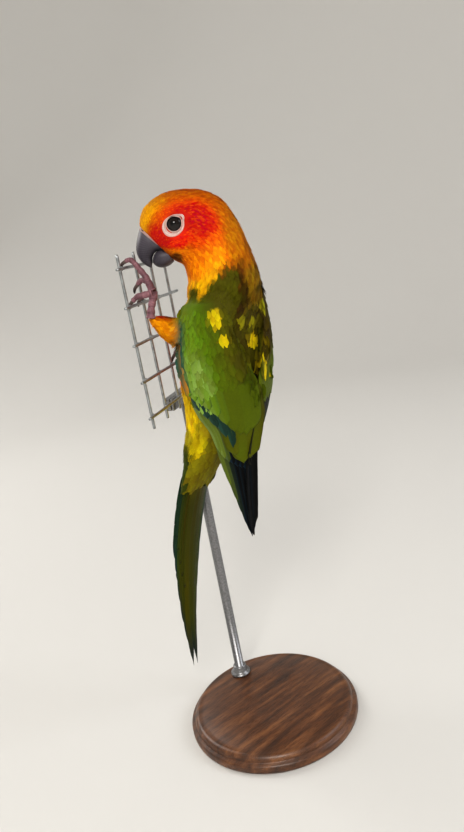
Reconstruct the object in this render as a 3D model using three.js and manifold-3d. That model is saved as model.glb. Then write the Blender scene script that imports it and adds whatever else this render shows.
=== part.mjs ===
// A life-size sun conure clinging to a short piece of wire mesh, on a plain display stand.
// Millimetres, +Z up. The belly faces -Y, the back +Y and the bird's own left side +X.
// The origin is the middle of the underside of the stand's base.

import * as THREE from 'three';
import { mergeVertices } from 'three/addons/utils/BufferGeometryUtils.js';
import Module from 'manifold-3d';

const wasm = await Module();
wasm.setup();

// Driving dimensions of the stand and of the piece of mesh.
const GAP = 0.3;
const BASE_RADIUS = 52;
const BASE_HEIGHT = 10;
const BASE_EDGE = 2;
const ROD_RADIUS = 3;
const ROD_SIDE = -30;
const CLAMP_HEIGHT = 7;
const CLAMP_WIDTH = 30;
const CLAMP_DEPTH = 6.4;
const WIRE_RADIUS = 0.8;
const MESH_PITCH = 19.05;
const MESH_ROWS = 5;
const MESH_COLUMNS = 4;
const MESH_DISTANCE = 36;
const MESH_TURN = 35.4;
const MESH_END = 7;
const TOP_ROW_HEIGHT = 284;

// Driving dimensions of the bird.
const HEAD_TURN = 55;
const HEAD_AXIS = { x: 8.75, y: 3.7 };
const EYE_HEIGHT = 300;
const EYE_FORWARD = 8;
const EYEBALL_RADIUS = 4.6;
const EYE_OPENING = 3.3;
const EYE_APEX = 12.9;
const EYE_RING_RADIUS = 6.0;
const SKIN_SIDES = 22;
const EYE_SIDES = 14;
const BILL_SIDES = 12;
const BIRD_PLACE = [-4, 14, 0];

const radians = THREE.MathUtils.degToRad;
const UP = new THREE.Vector3(0, 0, 1);

// Unit vectors of a body part turned about the vertical: forward out of the belly, and its own left.
function facing(turn) {
  const a = radians(turn);
  return {
    forward: new THREE.Vector3(Math.sin(a), -Math.cos(a), 0),
    left: new THREE.Vector3(Math.cos(a), Math.sin(a), 0),
  };
}

// A smooth curve through rows of numbers, read at t from 0 to the last row.
function smoothRows(rows) {
  const last = rows.length - 1;
  return (t) => {
    const i = Math.min(Math.floor(Math.max(t, 0)), last - 1);
    const f = t - i;
    const [a, b, c, d] = [i - 1, i, i + 1, i + 2].map((k) => rows[THREE.MathUtils.clamp(k, 0, last)]);
    return b.map((_, n) => {
      const slopeIn = (c[n] - a[n]) / 2;
      const slopeOut = (d[n] - b[n]) / 2;
      const cubic = 2 * b[n] - 2 * c[n] + slopeIn + slopeOut;
      const square = -3 * b[n] + 3 * c[n] - 2 * slopeIn - slopeOut;
      return ((cubic * f + square) * f + slopeIn) * f + b[n];
    });
  };
}

// A closed solid through rings of equal point counts, each end closed to a pole.
function loft(rings, startPole, endPole) {
  const count = rings[0].length;
  const middle = (ring) => ring.reduce((s, p) => s.add(p), new THREE.Vector3()).divideScalar(ring.length);
  const points = rings.flat();
  const start = points.push(startPole ?? middle(rings[0])) - 1;
  const end = points.push(endPole ?? middle(rings[rings.length - 1])) - 1;
  const faces = [];
  for (let r = 0; r + 1 < rings.length; r += 1) {
    for (let k = 0; k < count; k += 1) {
      const a = r * count + k;
      const b = r * count + ((k + 1) % count);
      faces.push(a, b, b + count, a, b + count, a + count);
    }
  }
  const top = (rings.length - 1) * count;
  for (let k = 0; k < count; k += 1) {
    const next = (k + 1) % count;
    faces.push(start, next, k, end, top + k, top + next);
  }
  const geometry = new THREE.BufferGeometry();
  geometry.setAttribute('position', new THREE.Float32BufferAttribute(points.flatMap((p) => p.toArray()), 3));
  geometry.setIndex(faces);
  return pointOut(geometry);
}

// Six times the volume inside a closed geometry, below zero when its faces point inwards.
function signedVolume(geometry) {
  const p = geometry.attributes.position;
  const corners = [0, 1, 2].map(() => new THREE.Vector3());
  let sum = 0;
  for (let f = 0; f < geometry.index.count; f += 3) {
    corners.forEach((v, k) => v.fromBufferAttribute(p, geometry.index.getX(f + k)));
    sum += corners[0].dot(corners[1].clone().cross(corners[2]));
  }
  return sum;
}

// The geometry with its faces pointing outwards.
function pointOut(geometry) {
  if (signedVolume(geometry) < 0) {
    const index = geometry.index.array;
    for (let f = 0; f < index.length; f += 3) {
      [index[f], index[f + 1]] = [index[f + 1], index[f]];
    }
  }
  return geometry;
}

// A three.js geometry as a solid that can be joined and cut.
function toSolid(geometry) {
  const bare = geometry.clone();
  bare.deleteAttribute('normal');
  bare.deleteAttribute('uv');
  const merged = mergeVertices(bare, 1e-4);
  return new wasm.Manifold(new wasm.Mesh({
    numProp: 3,
    vertProperties: new Float32Array(merged.attributes.position.array),
    triVerts: new Uint32Array(merged.index.array),
  }));
}

// The largest single body of a solid, as a three.js geometry.
function toGeometry(solid) {
  const bodies = solid.decompose();
  bodies.sort((a, b) => b.volume() - a.volume());
  const mesh = bodies[0].getMesh();
  const geometry = new THREE.BufferGeometry();
  geometry.setAttribute('position', new THREE.Float32BufferAttribute(mesh.vertProperties, 3));
  geometry.setIndex(Array.from(mesh.triVerts));
  return geometry;
}

const group = new THREE.Group();
const bird = new THREE.Group();
bird.position.set(...BIRD_PLACE);
group.add(bird);

// Adds one named sub-part with its own finish, with the bird or with the stand's base.
function addPart(name, geometry, colour, roughness = 0.85, metalness = 0, owner = bird) {
  geometry.computeVertexNormals();
  const material = new THREE.MeshStandardMaterial({ color: colour, roughness, metalness, flatShading: true });
  const mesh = new THREE.Mesh(geometry, material);
  mesh.name = name;
  owner.add(mesh);
}

// The bird's outline from the face over the crown and down the back to the end of the tail coverts.
// Each row is a ring round the body: the axis x and y, the turn of the ring, how far forward and how
// high its back point and its front point are, the half width, and where its widest line lies.
const RING = {
  face: [8.75, 3.7, 55, 26.4, 302.6, 12.9, 283.4, 8.4, 0.5],
  lores: [8.75, 3.7, 55, 23.4, 310.4, 11.4, 281.8, 10.8, 0.47],
  eye: [8.75, 3.7, 55, 13.8, 316.0, 10.0, 281.0, 12.4, 0.46],
  crown: [8.75, 3.7, 55, 3.2, 316.9, 9.0, 280.2, 13.7, 0.46],
  hindCrown: [8.75, 3.7, 55, -8.4, 314.7, 8.5, 279.0, 14.5, 0.47],
  napeTop: [8.75, 3.7, 55, -17.9, 308.0, 8.3, 277.6, 15.0, 0.48],
  nape: [8.75, 3.7, 55, -22.9, 297.8, 8.2, 275.6, 15.5, 0.5],
  neckTop: [8.75, 3.7, 54, -26.0, 288.6, 8.2, 272.6, 16.0, 0.5],
  neck: [6.0, 5.4, 49, -25.0, 277.6, 12.6, 268.4, 17.0, 0.5],
  neckBase: [2.0, 7.4, 34, -22.8, 266.4, 18.6, 262.4, 18.6, 0.5],
  shoulder: [0.4, 4.8, 14, -21.8, 253.6, 22.4, 254.0, 20.6, 0.5],
  mantle: [0, 1.6, 0, -20.4, 240.4, 25.0, 242.0, 21.8, 0.54],
  back: [0, -1.6, 0, -20.4, 226.6, 26.0, 230.4, 22.4, 0.56],
  lowerBack: [0.8, -7.0, 0, -19.6, 212.0, 26.0, 219.0, 21.8, 0.57],
  rump: [2.6, -12.7, 0, -16.8, 196.0, 20.6, 205.4, 18.2, 0.56],
  vent: [4.6, -17.6, 0, -13.4, 184.6, 17.0, 194.4, 15.0, 0.56],
  tailBase: [7.4, -23.4, 0, -11.2, 174.8, 13.4, 184.0, 13.2, 0.56],
  coverts: [10.4, -28.4, 0, -8.6, 165.0, 8.4, 172.6, 12.8, 0.54],
  covertTips: [13.4, -32.8, 0, -4.4, 155.0, 3.6, 159.4, 12.2, 0.5],
};
const RING_NAMES = Object.keys(RING);
const bodyRow = smoothRows(Object.values(RING));
const at = (name) => RING_NAMES.indexOf(name);

// The ring round the body at t, let out by grow.
function bodyRing(t, grow = 0) {
  const [x, y, turn, backReach, backHeight, frontReach, frontHeight, half, widest] = bodyRow(t);
  const { forward, left } = facing(turn);
  const axis = new THREE.Vector3(x, y, 0);
  const back = axis.clone().addScaledVector(forward, backReach).setZ(backHeight);
  const front = axis.clone().addScaledVector(forward, frontReach).setZ(frontHeight);
  const centre = front.clone().lerp(back, widest);
  const toBack = back.clone().sub(front).normalize();
  const ring = [];
  for (let k = 0; k < SKIN_SIDES; k += 1) {
    const a = (2 * Math.PI * k) / SKIN_SIDES;
    const along = Math.cos(a);
    const across = Math.sign(Math.sin(a)) * Math.abs(Math.sin(a)) ** 0.92;
    const reach = (along > 0 ? back : front).distanceTo(centre) + grow;
    ring.push(centre.clone().addScaledVector(toBack, along * reach).addScaledVector(left, across * (half + grow)));
  }
  return ring;
}

// The body between two places on its outline, with flat ends.
function bodyLength(from, to, perRing, grow = 0) {
  const steps = Math.max(2, Math.round((to - from) * perRing));
  const rings = [];
  for (let s = 0; s <= steps; s += 1) {
    rings.push(bodyRing(from + ((to - from) * s) / steps, grow));
  }
  return rings;
}

const THIN_CUT = 0.03;
const HEAD_END = at('neckTop') + 0.1;
const NECK_END = at('neckBase') + 0.35;
const TRUNK_END = at('vent') + 0.2;

// Bare rings of skin round the eyes, and the eyes.
const head = facing(HEAD_TURN);
const headPoint = (forward, height, left = 0) => new THREE.Vector3(HEAD_AXIS.x, HEAD_AXIS.y, height)
  .addScaledVector(head.forward, forward)
  .addScaledVector(head.left, left);

// A turned solid whose profile is given as pairs of radius and height, standing on an eye's axis.
function onEye(profile, side) {
  const lathe = new THREE.LatheGeometry(profile.map(([r, h]) => new THREE.Vector2(r, h)), EYE_SIDES);
  const axis = head.left.clone().multiplyScalar(side).addScaledVector(head.forward, 0.16).addScaledVector(UP, 0.06);
  const turn = new THREE.Quaternion().setFromUnitVectors(new THREE.Vector3(0, 1, 0), axis.normalize());
  lathe.applyQuaternion(turn);
  const place = headPoint(EYE_FORWARD, EYE_HEIGHT, side * (EYE_APEX - EYEBALL_RADIUS));
  lathe.translate(place.x, place.y, place.z);
  const bare = lathe.clone();
  bare.deleteAttribute('normal');
  bare.deleteAttribute('uv');
  return pointOut(mergeVertices(bare, 1e-4));
}

// An eyeball profile from its back to its front, let out by grow.
function eyeballProfile(grow) {
  const steps = 7;
  const points = [];
  for (let k = 0; k <= steps; k += 1) {
    const a = (Math.PI * k) / steps - Math.PI / 2;
    const r = k === 0 || k === steps ? 0 : (EYEBALL_RADIUS + grow) * Math.cos(a);
    points.push([r, (EYEBALL_RADIUS + grow) * Math.sin(a)]);
  }
  return points;
}

// A bare ring of skin that follows the eyeball and ends at the eye's opening.
function eyeRingProfile() {
  const clear = EYEBALL_RADIUS + GAP;
  const inner = EYE_OPENING + GAP;
  const onBall = (r) => Math.sqrt(clear ** 2 - r ** 2);
  const lip = onBall(inner);
  const under = (inner + EYE_RING_RADIUS) / 2 - 0.2;
  return [
    [inner, lip],
    [under, onBall(under)],
    [EYE_RING_RADIUS, lip - 1.8],
    [EYE_RING_RADIUS + 0.1, lip - 0.6],
    [under + 0.3, lip + 0.4],
    [inner + 0.1, lip + 0.45],
    [inner, lip],
  ];
}

// The head, hollowed for the eyes and their bare rings.
let headSolid = toSolid(loft(bodyLength(at('face'), HEAD_END - THIN_CUT, 1.8)));
for (const side of [1, -1]) {
  const wall = EYE_RING_RADIUS + 2 * GAP;
  const pocket = [[0, 1], [4, 1], [wall, 1.2], [wall, 7], [0, 7]];
  headSolid = headSolid.subtract(toSolid(onEye(eyeballProfile(GAP), side)));
  headSolid = headSolid.subtract(toSolid(onEye(pocket, side)));
}
addPart('head', toGeometry(headSolid), 0xd86a10);
for (const [name, side] of [['left', 1], ['right', -1]]) {
  addPart(`eye_${name}`, onEye(eyeballProfile(0), side), 0x120c0a, 0.08);
  addPart(`eye_ring_${name}`, onEye(eyeRingProfile(0), side), 0xe6cdc8, 0.7);
}

// Neck, trunk and the coverts over the root of the tail.
addPart('neck', loft(bodyLength(HEAD_END + THIN_CUT, NECK_END - THIN_CUT, 2.4)), 0xe08a10);
const trunkGeometry = loft(bodyLength(NECK_END + THIN_CUT, TRUNK_END - THIN_CUT, 1.9));
const trunkRoom = toSolid(loft(bodyLength(at('neck'), at('coverts'), 2.6, GAP + 0.15)));
addPart('tail_coverts', loft(bodyLength(TRUNK_END + THIN_CUT, at('covertTips'), 2.2)), 0x8a7a10);

// The two halves of the bill, in the plane of the head. Each row is a ring: how far forward and how
// high its outer point and its inner point are, and its half width.
const UPPER_BILL = [
  [25.9, 301.1, 15.6, 288.6, 6.9],
  [27.3, 298.3, 16.9, 289.2, 7.0],
  [28.9, 294.6, 18.9, 289.4, 6.5],
  [29.8, 290.6, 21.0, 288.6, 5.3],
  [29.1, 286.8, 22.6, 286.6, 3.7],
  [27.2, 283.9, 23.2, 284.3, 2.2],
  [25.2, 282.1, 23.6, 282.9, 0.9],
];
const LOWER_BILL = [
  [12.4, 282.8, 15.6, 289.4, 6.2],
  [14.8, 281.4, 17.6, 289.6, 6.5],
  [17.8, 280.8, 19.8, 289.2, 6.2],
  [20.4, 281.3, 21.6, 287.6, 4.9],
  [22.2, 282.6, 22.6, 285.8, 2.8],
];

// A bill half as a loft of rings with a ridge along its outer side.
function billHalf(rows, perRow, tip) {
  const row = smoothRows(rows);
  const rings = [];
  const steps = (rows.length - 1) * perRow;
  for (let s = 0; s <= steps; s += 1) {
    const [outF, outH, inF, inH, half] = row(s / perRow);
    const outer = headPoint(outF, outH);
    const inner = headPoint(inF, inH);
    const centre = outer.clone().lerp(inner, 0.52);
    const outward = outer.clone().sub(inner).normalize();
    const reach = outer.distanceTo(inner);
    const ring = [];
    for (let k = 0; k < BILL_SIDES; k += 1) {
      const a = (2 * Math.PI * k) / BILL_SIDES;
      const along = Math.cos(a) * reach * (Math.cos(a) > 0 ? 0.52 : 0.48);
      ring.push(centre.clone().addScaledVector(outward, along).addScaledVector(head.left, half * Math.sin(a)));
    }
    rings.push(ring);
  }
  return loft(rings, undefined, headPoint(...tip));
}

const faceRoom = toSolid(loft(bodyLength(at('face'), at('eye'), 3, GAP)));
const upperBill = toSolid(billHalf(UPPER_BILL, 2, [24.2, 281.5])).subtract(faceRoom);
const upperRoom = toSolid(billHalf(UPPER_BILL.map(([a, b, c, d, h]) => [a, b, c, d - GAP, h + GAP]), 2, [24.2, 281.2]));
const lowerBill = toSolid(billHalf(LOWER_BILL, 2, [23.0, 284.2])).subtract(faceRoom).subtract(upperRoom);
addPart('bill_upper', toGeometry(upperBill), 0x3a3638, 0.45);
addPart('bill_lower', toGeometry(lowerBill), 0x2e2a2c, 0.5);

// The folded wings. Each row is one height: how far the two wings' meeting line stands to the left,
// then out and back to the leading edge, the shoulder of the curve and the inner edge, and the thickness.
const WING = [
  [261.5, 0.4, 18.6, -4.6, 25.0, 14.6, 14.5, 23.4, 2.2],
  [255.0, 0.2, 22.2, -7.6, 27.6, 15.0, 12.0, 24.8, 3.4],
  [241.0, 0.0, 26.0, -8.0, 29.0, 16.4, 9.0, 25.2, 4.2],
  [229.0, 0.0, 27.4, -9.0, 29.6, 15.6, 5.6, 25.0, 4.2],
  [216.0, 0.0, 26.6, -8.3, 27.6, 14.4, 2.0, 23.2, 3.8],
  [201.0, 0.6, 22.9, -6.0, 22.8, 12.4, -0.6, 19.0, 3.0],
  [190.0, 1.5, 17.9, -3.2, 18.0, 10.4, -1.8, 14.8, 2.4],
  [175.0, 3.5, 14.0, -1.9, 12.0, 7.6, -2.6, 10.2, 2.0],
  [160.0, 3.9, 11.2, -0.8, 8.4, 5.0, -2.8, 7.0, 1.8],
  [145.0, 4.1, 8.6, -0.6, 5.6, 3.0, -2.6, 4.2, 1.6],
  [130.0, 4.2, 5.6, -0.4, 3.4, 1.4, -2.2, 1.8, 1.4],
  [122.0, 4.2, 3.6, -0.3, 2.2, 0.9, -1.6, 1.0, 1.2],
];
const wingRow = smoothRows(WING);

// The place in the wing rows of a height.
function wingPlace(height) {
  let t = 0;
  while (t < WING.length - 1 && wingRow(t)[0] > height) {
    t += 0.02;
  }
  return t;
}

// A point on the outer face of a wing, from 0 at the leading edge to 1 at the inner edge, sunk by depth.
function wingPoint(side, t, across, depth = 0) {
  const [height, meet, edgeX, edgeY, bowX, bowY, innerX, innerY] = wingRow(t);
  const v = 1 - across;
  const x = v * v * edgeX + 2 * v * across * bowX + across * across * innerX;
  const y = v * v * edgeY + 2 * v * across * bowY + across * across * innerY;
  const runX = v * (bowX - edgeX) + across * (innerX - bowX);
  const runY = v * (bowY - edgeY) + across * (innerY - bowY);
  const run = Math.hypot(runX, runY);
  const inX = x - (runY / run) * depth;
  const inY = y + (runX / run) * depth;
  return new THREE.Vector3(meet + side * inX, inY, height);
}

const COVERTS_END = 206;

// The arm of the wing with its coverts: a shell that is thickest along the middle, let out by grow.
function wingArm(side, grow = 0) {
  const rings = [];
  const last = wingPlace(COVERTS_END);
  const steps = 8;
  const acrossSteps = 6;
  for (let s = 0; s <= steps; s += 1) {
    const t = (last * s) / steps;
    const thick = wingRow(t)[8];
    const outer = [];
    const inner = [];
    for (let k = 0; k <= acrossSteps; k += 1) {
      const part = k / acrossSteps;
      const across = part + (part - 0.5) * 0.06 * grow;
      const depth = 0.8 + (thick - 0.8) * Math.sin(Math.PI * part) ** 0.6;
      outer.push(wingPoint(side, t, across, -grow));
      inner.unshift(wingPoint(side, t, across, depth + grow));
    }
    rings.push([...outer, ...inner]);
  }
  return loft(rings);
}

// A sheet of long feathers that lie side by side. The number of feathers, the share of the full length
// that each reaches, and a function that gives the outer and the inner point at a place on the sheet,
// by its share across and its share along.
function featherSheet(reaches, place, rows, perFeather) {
  const columns = reaches.length * perFeather;
  const reachAt = (column) => {
    const inFeather = (column % perFeather) / perFeather;
    const next = Math.min(Math.floor(column / perFeather), reaches.length - 1);
    if (inFeather === 0) {
      const before = Math.max(next - (column < columns ? 1 : 0), 0);
      return Math.min(reaches[next], reaches[before]) - FEATHER_NOTCH;
    }
    return reaches[next] - FEATHER_NOTCH * (2 * inFeather - 1) ** 4;
  };
  const rings = [];
  for (let row = 0; row <= rows; row += 1) {
    const outer = [];
    const inner = [];
    for (let column = 0; column <= columns; column += 1) {
      const [out, within] = place(column / columns, (reachAt(column) * row) / rows);
      outer.push(out);
      inner.unshift(within);
    }
    rings.push([...outer, ...inner]);
  }
  return loftStrip(rings);
}

// A closed solid through flat rings whose first half is the outer face and whose second half, in
// the other direction, the inner one; its ends are closed straight across.
function loftStrip(rings) {
  const count = rings[0].length;
  const faces = [];
  for (let r = 0; r + 1 < rings.length; r += 1) {
    for (let k = 0; k < count; k += 1) {
      const a = r * count + k;
      const b = r * count + ((k + 1) % count);
      faces.push(a, b, b + count, a, b + count, a + count);
    }
  }
  const top = (rings.length - 1) * count;
  for (let k = 0; k + 1 < count / 2; k += 1) {
    const far = count - 1 - k;
    faces.push(k, far, far - 1, k, far - 1, k + 1);
    faces.push(top + k, top + k + 1, top + far - 1, top + k, top + far - 1, top + far);
  }
  const geometry = new THREE.BufferGeometry();
  const numbers = rings.flat().flatMap((p) => p.toArray());
  geometry.setAttribute('position', new THREE.Float32BufferAttribute(numbers, 3));
  geometry.setIndex(faces);
  return pointOut(geometry);
}

const FEATHER_NOTCH = 0.035;
const FLIGHT_ROOT = COVERTS_END - GAP - 0.2;
const LAYER = 1.0;

// A layer of a wing's flight feathers between two places across the wing.
function flightLayer(side, { reaches, lowest, fromAcross, toAcross, depth, grow }) {
  const from = wingPlace(FLIGHT_ROOT + grow);
  const to = wingPlace(lowest);
  const place = (across, along) => {
    const t = from + (to - from) * along * (1 + 0.08 * grow);
    const wide = fromAcross + (toAcross - fromAcross) * across + 0.3 * grow * (across - 0.5);
    return [wingPoint(side, t, wide, depth - grow), wingPoint(side, t, wide, depth + LAYER + grow)];
  };
  return featherSheet(reaches, place, 5, 3);
}

// The long primaries, which lie under the shorter secondaries and tertials.
const primaries = (side, grow = 0) => flightLayer(side, {
  reaches: [0.6, 0.72, 0.84, 0.94, 1, 0.97],
  lowest: 126 - grow,
  fromAcross: 0.03,
  toAcross: 0.97,
  depth: LAYER + GAP,
  grow,
});
const secondaries = (side, grow = 0) => flightLayer(side, {
  reaches: [0.52, 0.62, 0.74, 0.86, 1],
  lowest: 168 - grow,
  fromAcross: 0.2,
  toAcross: 1,
  depth: 0,
  grow,
});

// The left wing lies over the edge of the right one where they meet.
const leftRoom = toSolid(wingArm(1, GAP)).add(toSolid(primaries(1, 0.4))).add(toSolid(secondaries(1, 0.4)));
for (const [name, side] of [['left', 1], ['right', -1]]) {
  const clearOf = side > 0 ? trunkRoom : trunkRoom.add(leftRoom);
  addPart(`wing_${name}`, toGeometry(toSolid(wingArm(side)).subtract(clearOf)), 0x6f9a1a);
  addPart(`wing_${name}_primaries`, toGeometry(toSolid(primaries(side)).subtract(clearOf)), 0x20331f);
  addPart(`wing_${name}_secondaries`, toGeometry(toSolid(secondaries(side)).subtract(clearOf)), 0x4c5f12);
}

// The tail: twelve feathers in steps, the middle pair longest and on top. Each row of the path is one
// height: the tail's middle x and y, and its half width.
const TAIL_PATH = [
  [159.0, 12.7, -31.6, 10.9],
  [146.0, 16.0, -36.4, 11.6],
  [128.0, 19.6, -41.6, 11.6],
  [108.0, 22.6, -46.0, 11.2],
  [70.0, 27.4, -51.4, 9.8],
  [32.0, 30.0, -55.2, 8.6],
];
const TAIL_SIDE = new THREE.Vector3(1, 0.06, 0).normalize();
const TAIL_CROWN = 2.4;
const tailRow = smoothRows(TAIL_PATH);
const TAIL_REACHES = [0.42, 0.54, 0.66, 0.78, 0.89, 1, 1, 0.89, 0.78, 0.66, 0.54, 0.42];
const TAIL_FOLD = 0.6;

// The outer and the inner point of the tail at a share across and a share along. The folded outer
// feathers show only a narrow edge each.
function tailPlace(across, along) {
  const t = along * (TAIL_PATH.length - 1);
  const [height, x, y, half] = tailRow(t);
  const below = tailRow(Math.min(t + 0.1, TAIL_PATH.length - 1));
  const above = tailRow(Math.max(t - 0.1, 0));
  const run = new THREE.Vector3(below[1] - above[1], below[2] - above[2], below[0] - above[0]).normalize();
  const outward = TAIL_SIDE.clone().cross(run).normalize();
  const side = 2 * across - 1;
  const wide = Math.sign(side) * Math.abs(side) ** TAIL_FOLD;
  const point = new THREE.Vector3(x, y, height)
    .addScaledVector(TAIL_SIDE, wide * half)
    .addScaledVector(outward, TAIL_CROWN * (0.5 - wide * wide));
  const thick = 0.9 + 1.2 * (1 - wide * wide) * (1 - 0.6 * along);
  return [point, point.clone().addScaledVector(outward, -thick)];
}

const covertRoom = toSolid(loft(bodyLength(at('vent'), at('covertTips'), 2.2, GAP)));
const tail = toSolid(featherSheet(TAIL_REACHES, tailPlace, 6, 2)).subtract(covertRoom);
addPart('tail', toGeometry(tail), 0x4a4608);

// The welded mesh: columns behind, rows in front on the bird's side. Places on it are given as the
// distance towards the bird, the distance sideways and the height.
const meshAngle = radians(MESH_TURN);
const towardsBird = new THREE.Vector3(-Math.sin(meshAngle), Math.cos(meshAngle), 0);
const alongMesh = new THREE.Vector3(Math.cos(meshAngle), Math.sin(meshAngle), 0);
const onMesh = (near, sideways, height) => new THREE.Vector3(0, 0, height)
  .addScaledVector(towardsBird, near - MESH_DISTANCE)
  .addScaledVector(alongMesh, sideways);
const WIRE_LAYER = WIRE_RADIUS + GAP / 2;
const rowHeight = (row) => TOP_ROW_HEIGHT - row * MESH_PITCH;
const columnSide = (column) => (column - (MESH_COLUMNS - 1) / 2) * MESH_PITCH;

// A round bar between two points.
function bar(from, to, radius, sides) {
  const geometry = new THREE.CylinderGeometry(radius, radius, from.distanceTo(to), sides);
  const turn = new THREE.Quaternion().setFromUnitVectors(new THREE.Vector3(0, 1, 0), to.clone().sub(from).normalize());
  geometry.applyQuaternion(turn);
  const middle = from.clone().lerp(to, 0.5);
  geometry.translate(middle.x, middle.y, middle.z);
  return geometry;
}

for (let row = 0; row < MESH_ROWS; row += 1) {
  const reach = columnSide(MESH_COLUMNS - 1) + MESH_END;
  const from = onMesh(WIRE_LAYER, -reach, rowHeight(row));
  const to = onMesh(WIRE_LAYER, reach, rowHeight(row));
  addPart(`perch_wire_row_${row + 1}`, bar(from, to, WIRE_RADIUS, 8), 0x9a9a98, 0.45, 0.8);
}
for (let column = 0; column < MESH_COLUMNS; column += 1) {
  const from = onMesh(-WIRE_LAYER, columnSide(column), rowHeight(MESH_ROWS - 1) - MESH_END);
  const to = onMesh(-WIRE_LAYER, columnSide(column), rowHeight(0) + MESH_END);
  addPart(`perch_wire_column_${column + 1}`, bar(from, to, WIRE_RADIUS, 8), 0x9a9a98, 0.45, 0.8);
}

// A limb or toe as a round tube with a radius at each of its points, ends flat.
function limb(points, radii, sides, perPoint) {
  const curve = new THREE.CatmullRomCurve3(points, false, 'catmullrom');
  const steps = (points.length - 1) * perPoint;
  const radius = smoothRows(radii.map((r) => [r]));
  const rings = [];
  let across = new THREE.Vector3(0.31, 0.83, 0.46).normalize();
  for (let s = 0; s <= steps; s += 1) {
    const run = curve.getTangent(s / steps);
    across = across.addScaledVector(run, -across.dot(run)).normalize().clone();
    const up = run.clone().cross(across);
    const middle = curve.getPoint(s / steps);
    const ring = [];
    for (let k = 0; k < sides; k += 1) {
      const a = (2 * Math.PI * k) / sides;
      const r = radius(s / perPoint)[0];
      ring.push(middle.clone().addScaledVector(across, r * Math.cos(a)).addScaledVector(up, r * Math.sin(a)));
    }
    rings.push(ring);
  }
  return loft(rings);
}

// The toes of the left foot from its sole, which holds the second row of the mesh, and the right foot
// from its own, on the fourth row. Each toe is a list of places; its last two carry the claw.
const LEFT_TOES = [
  [[8.4, 18.8, 5.6], [7.4, 19.6, 11.6], [4.6, 20.4, 17.6], [1.6, 21.0, 22.2], [-1.4, 21.4, 22.2], [-3.6, 21.6, 18.0]],
  [[8.4, 17.4, 5.4], [6.0, 16.2, 10.0], [2.6, 15.4, 11.4], [-0.6, 15.0, 9.6], [-2.9, 14.8, 5.4]],
  [[8.4, 19.8, 4.4], [5.4, 21.6, 4.2], [2.2, 23.0, 4.2], [-1.2, 23.6, 2.2], [-3.2, 24.0, -1.9]],
  [[8.4, 16.8, 4.4], [5.2, 14.8, 4.0], [2.0, 13.8, 4.0], [-0.9, 13.6, 2.4], [-2.9, 13.4, -1.6]],
];
const RIGHT_TOES = [
  [[8.6, -17.6, 5.6], [6.6, -15.8, 8.4], [2.6, -14.6, 7.4], [-0.6, -14.4, 4.6], [-2.8, -14.4, 0.4]],
  [[8.6, -19.4, 5.6], [6.6, -21.2, 8.0], [2.6, -22.4, 7.0], [-0.6, -22.8, 4.4], [-2.8, -23.0, 0.4]],
  [[8.6, -18.0, 1.4], [6.2, -16.6, -2.8], [2.4, -16.0, -4.2], [-1.2, -15.8, -2.6]],
  [[8.6, -19.6, 1.4], [6.2, -21.0, -2.6], [2.4, -21.6, -4.0], [-1.2, -21.8, -2.4]],
];
const LEFT_SHANK = [[5.4, 20.6, -8.0], [6.6, 20.0, -3.0], [8.2, 18.9, 1.6], [8.6, 18.3, 5.0]];
const RIGHT_SHANK = [[7.6, -20.4, -9.4], [8.4, -19.8, -4.4], [9.0, -19.0, 0.4], [8.8, -18.5, 4.0]];
const LEFT_THIGH = [[19.0, 4.0, -21.0], [13.4, 11.0, -17.6], [9.2, 16.4, -12.6], [6.0, 20.2, -8.9]];
const RIGHT_THIGH = [[20.0, -10.6, -3.0], [15.0, -14.4, -6.6], [11.0, -17.8, -9.4], [8.0, -20.2, -10.2]];
const THIGH_RADII = [9.4, 8.4, 6.0, 3.1];
const SHANK_RADII = [2.5, 1.9, 2.1, 2.7];
const TOE_RADII = [2.0, 1.75, 1.5, 1.35, 1.15];
const CLAW_RADII = [1.05, 0.85, 0.6, 0.3];

// A toe's fleshy part, all its places but the last.
function toe(places) {
  return limb(places.slice(0, -1), TOE_RADII.slice(0, places.length - 1), 6, 2);
}

// A claw that hooks on from the end of a toe.
function claw(places) {
  const [before, end, tip] = places.slice(-3);
  const run = end.clone().sub(before).normalize();
  const root = end.clone().addScaledVector(run, 1.6 * GAP);
  const knuckle = end.clone().lerp(tip, 0.28).addScaledVector(run, 1.5);
  const late = end.clone().lerp(tip, 0.75).addScaledVector(run, 1.0);
  return limb([root, knuckle, late, tip], CLAW_RADII, 5, 1);
}

const wingsRoom = toSolid(wingArm(1, GAP)).add(toSolid(wingArm(-1, GAP)));
for (const [name, toes, shank, thigh, row] of [
  ['left', LEFT_TOES, LEFT_SHANK, LEFT_THIGH, 1],
  ['right', RIGHT_TOES, RIGHT_SHANK, RIGHT_THIGH, 3],
]) {
  const onRow = (places) => places.map(([near, sideways, rise]) => onMesh(near + WIRE_LAYER, sideways, rowHeight(row) + rise));
  const shankSolid = toSolid(limb(onRow(shank), SHANK_RADII, 10, 2));
  const shankRoom = toSolid(limb(onRow(shank), SHANK_RADII.map((r) => r + GAP), 10, 2));
  const foot = toes.reduce((joined, places) => joined.add(toSolid(toe(onRow(places)))), shankSolid);
  const thighSolid = toSolid(limb(onRow(thigh), THIGH_RADII, 12, 2))
    .subtract(trunkRoom)
    .subtract(wingsRoom)
    .subtract(shankRoom);
  addPart(`foot_${name}`, toGeometry(foot.subtract(trunkRoom)), 0xa87880, 0.7);
  addPart(`thigh_${name}`, toGeometry(thighSolid), 0xd8880c);
  toes.forEach((places, k) => addPart(`claw_${name}_${k + 1}`, claw(onRow(places)), 0x2c2624, 0.5));
}
addPart('trunk', trunkGeometry, 0x5a6010);

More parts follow.
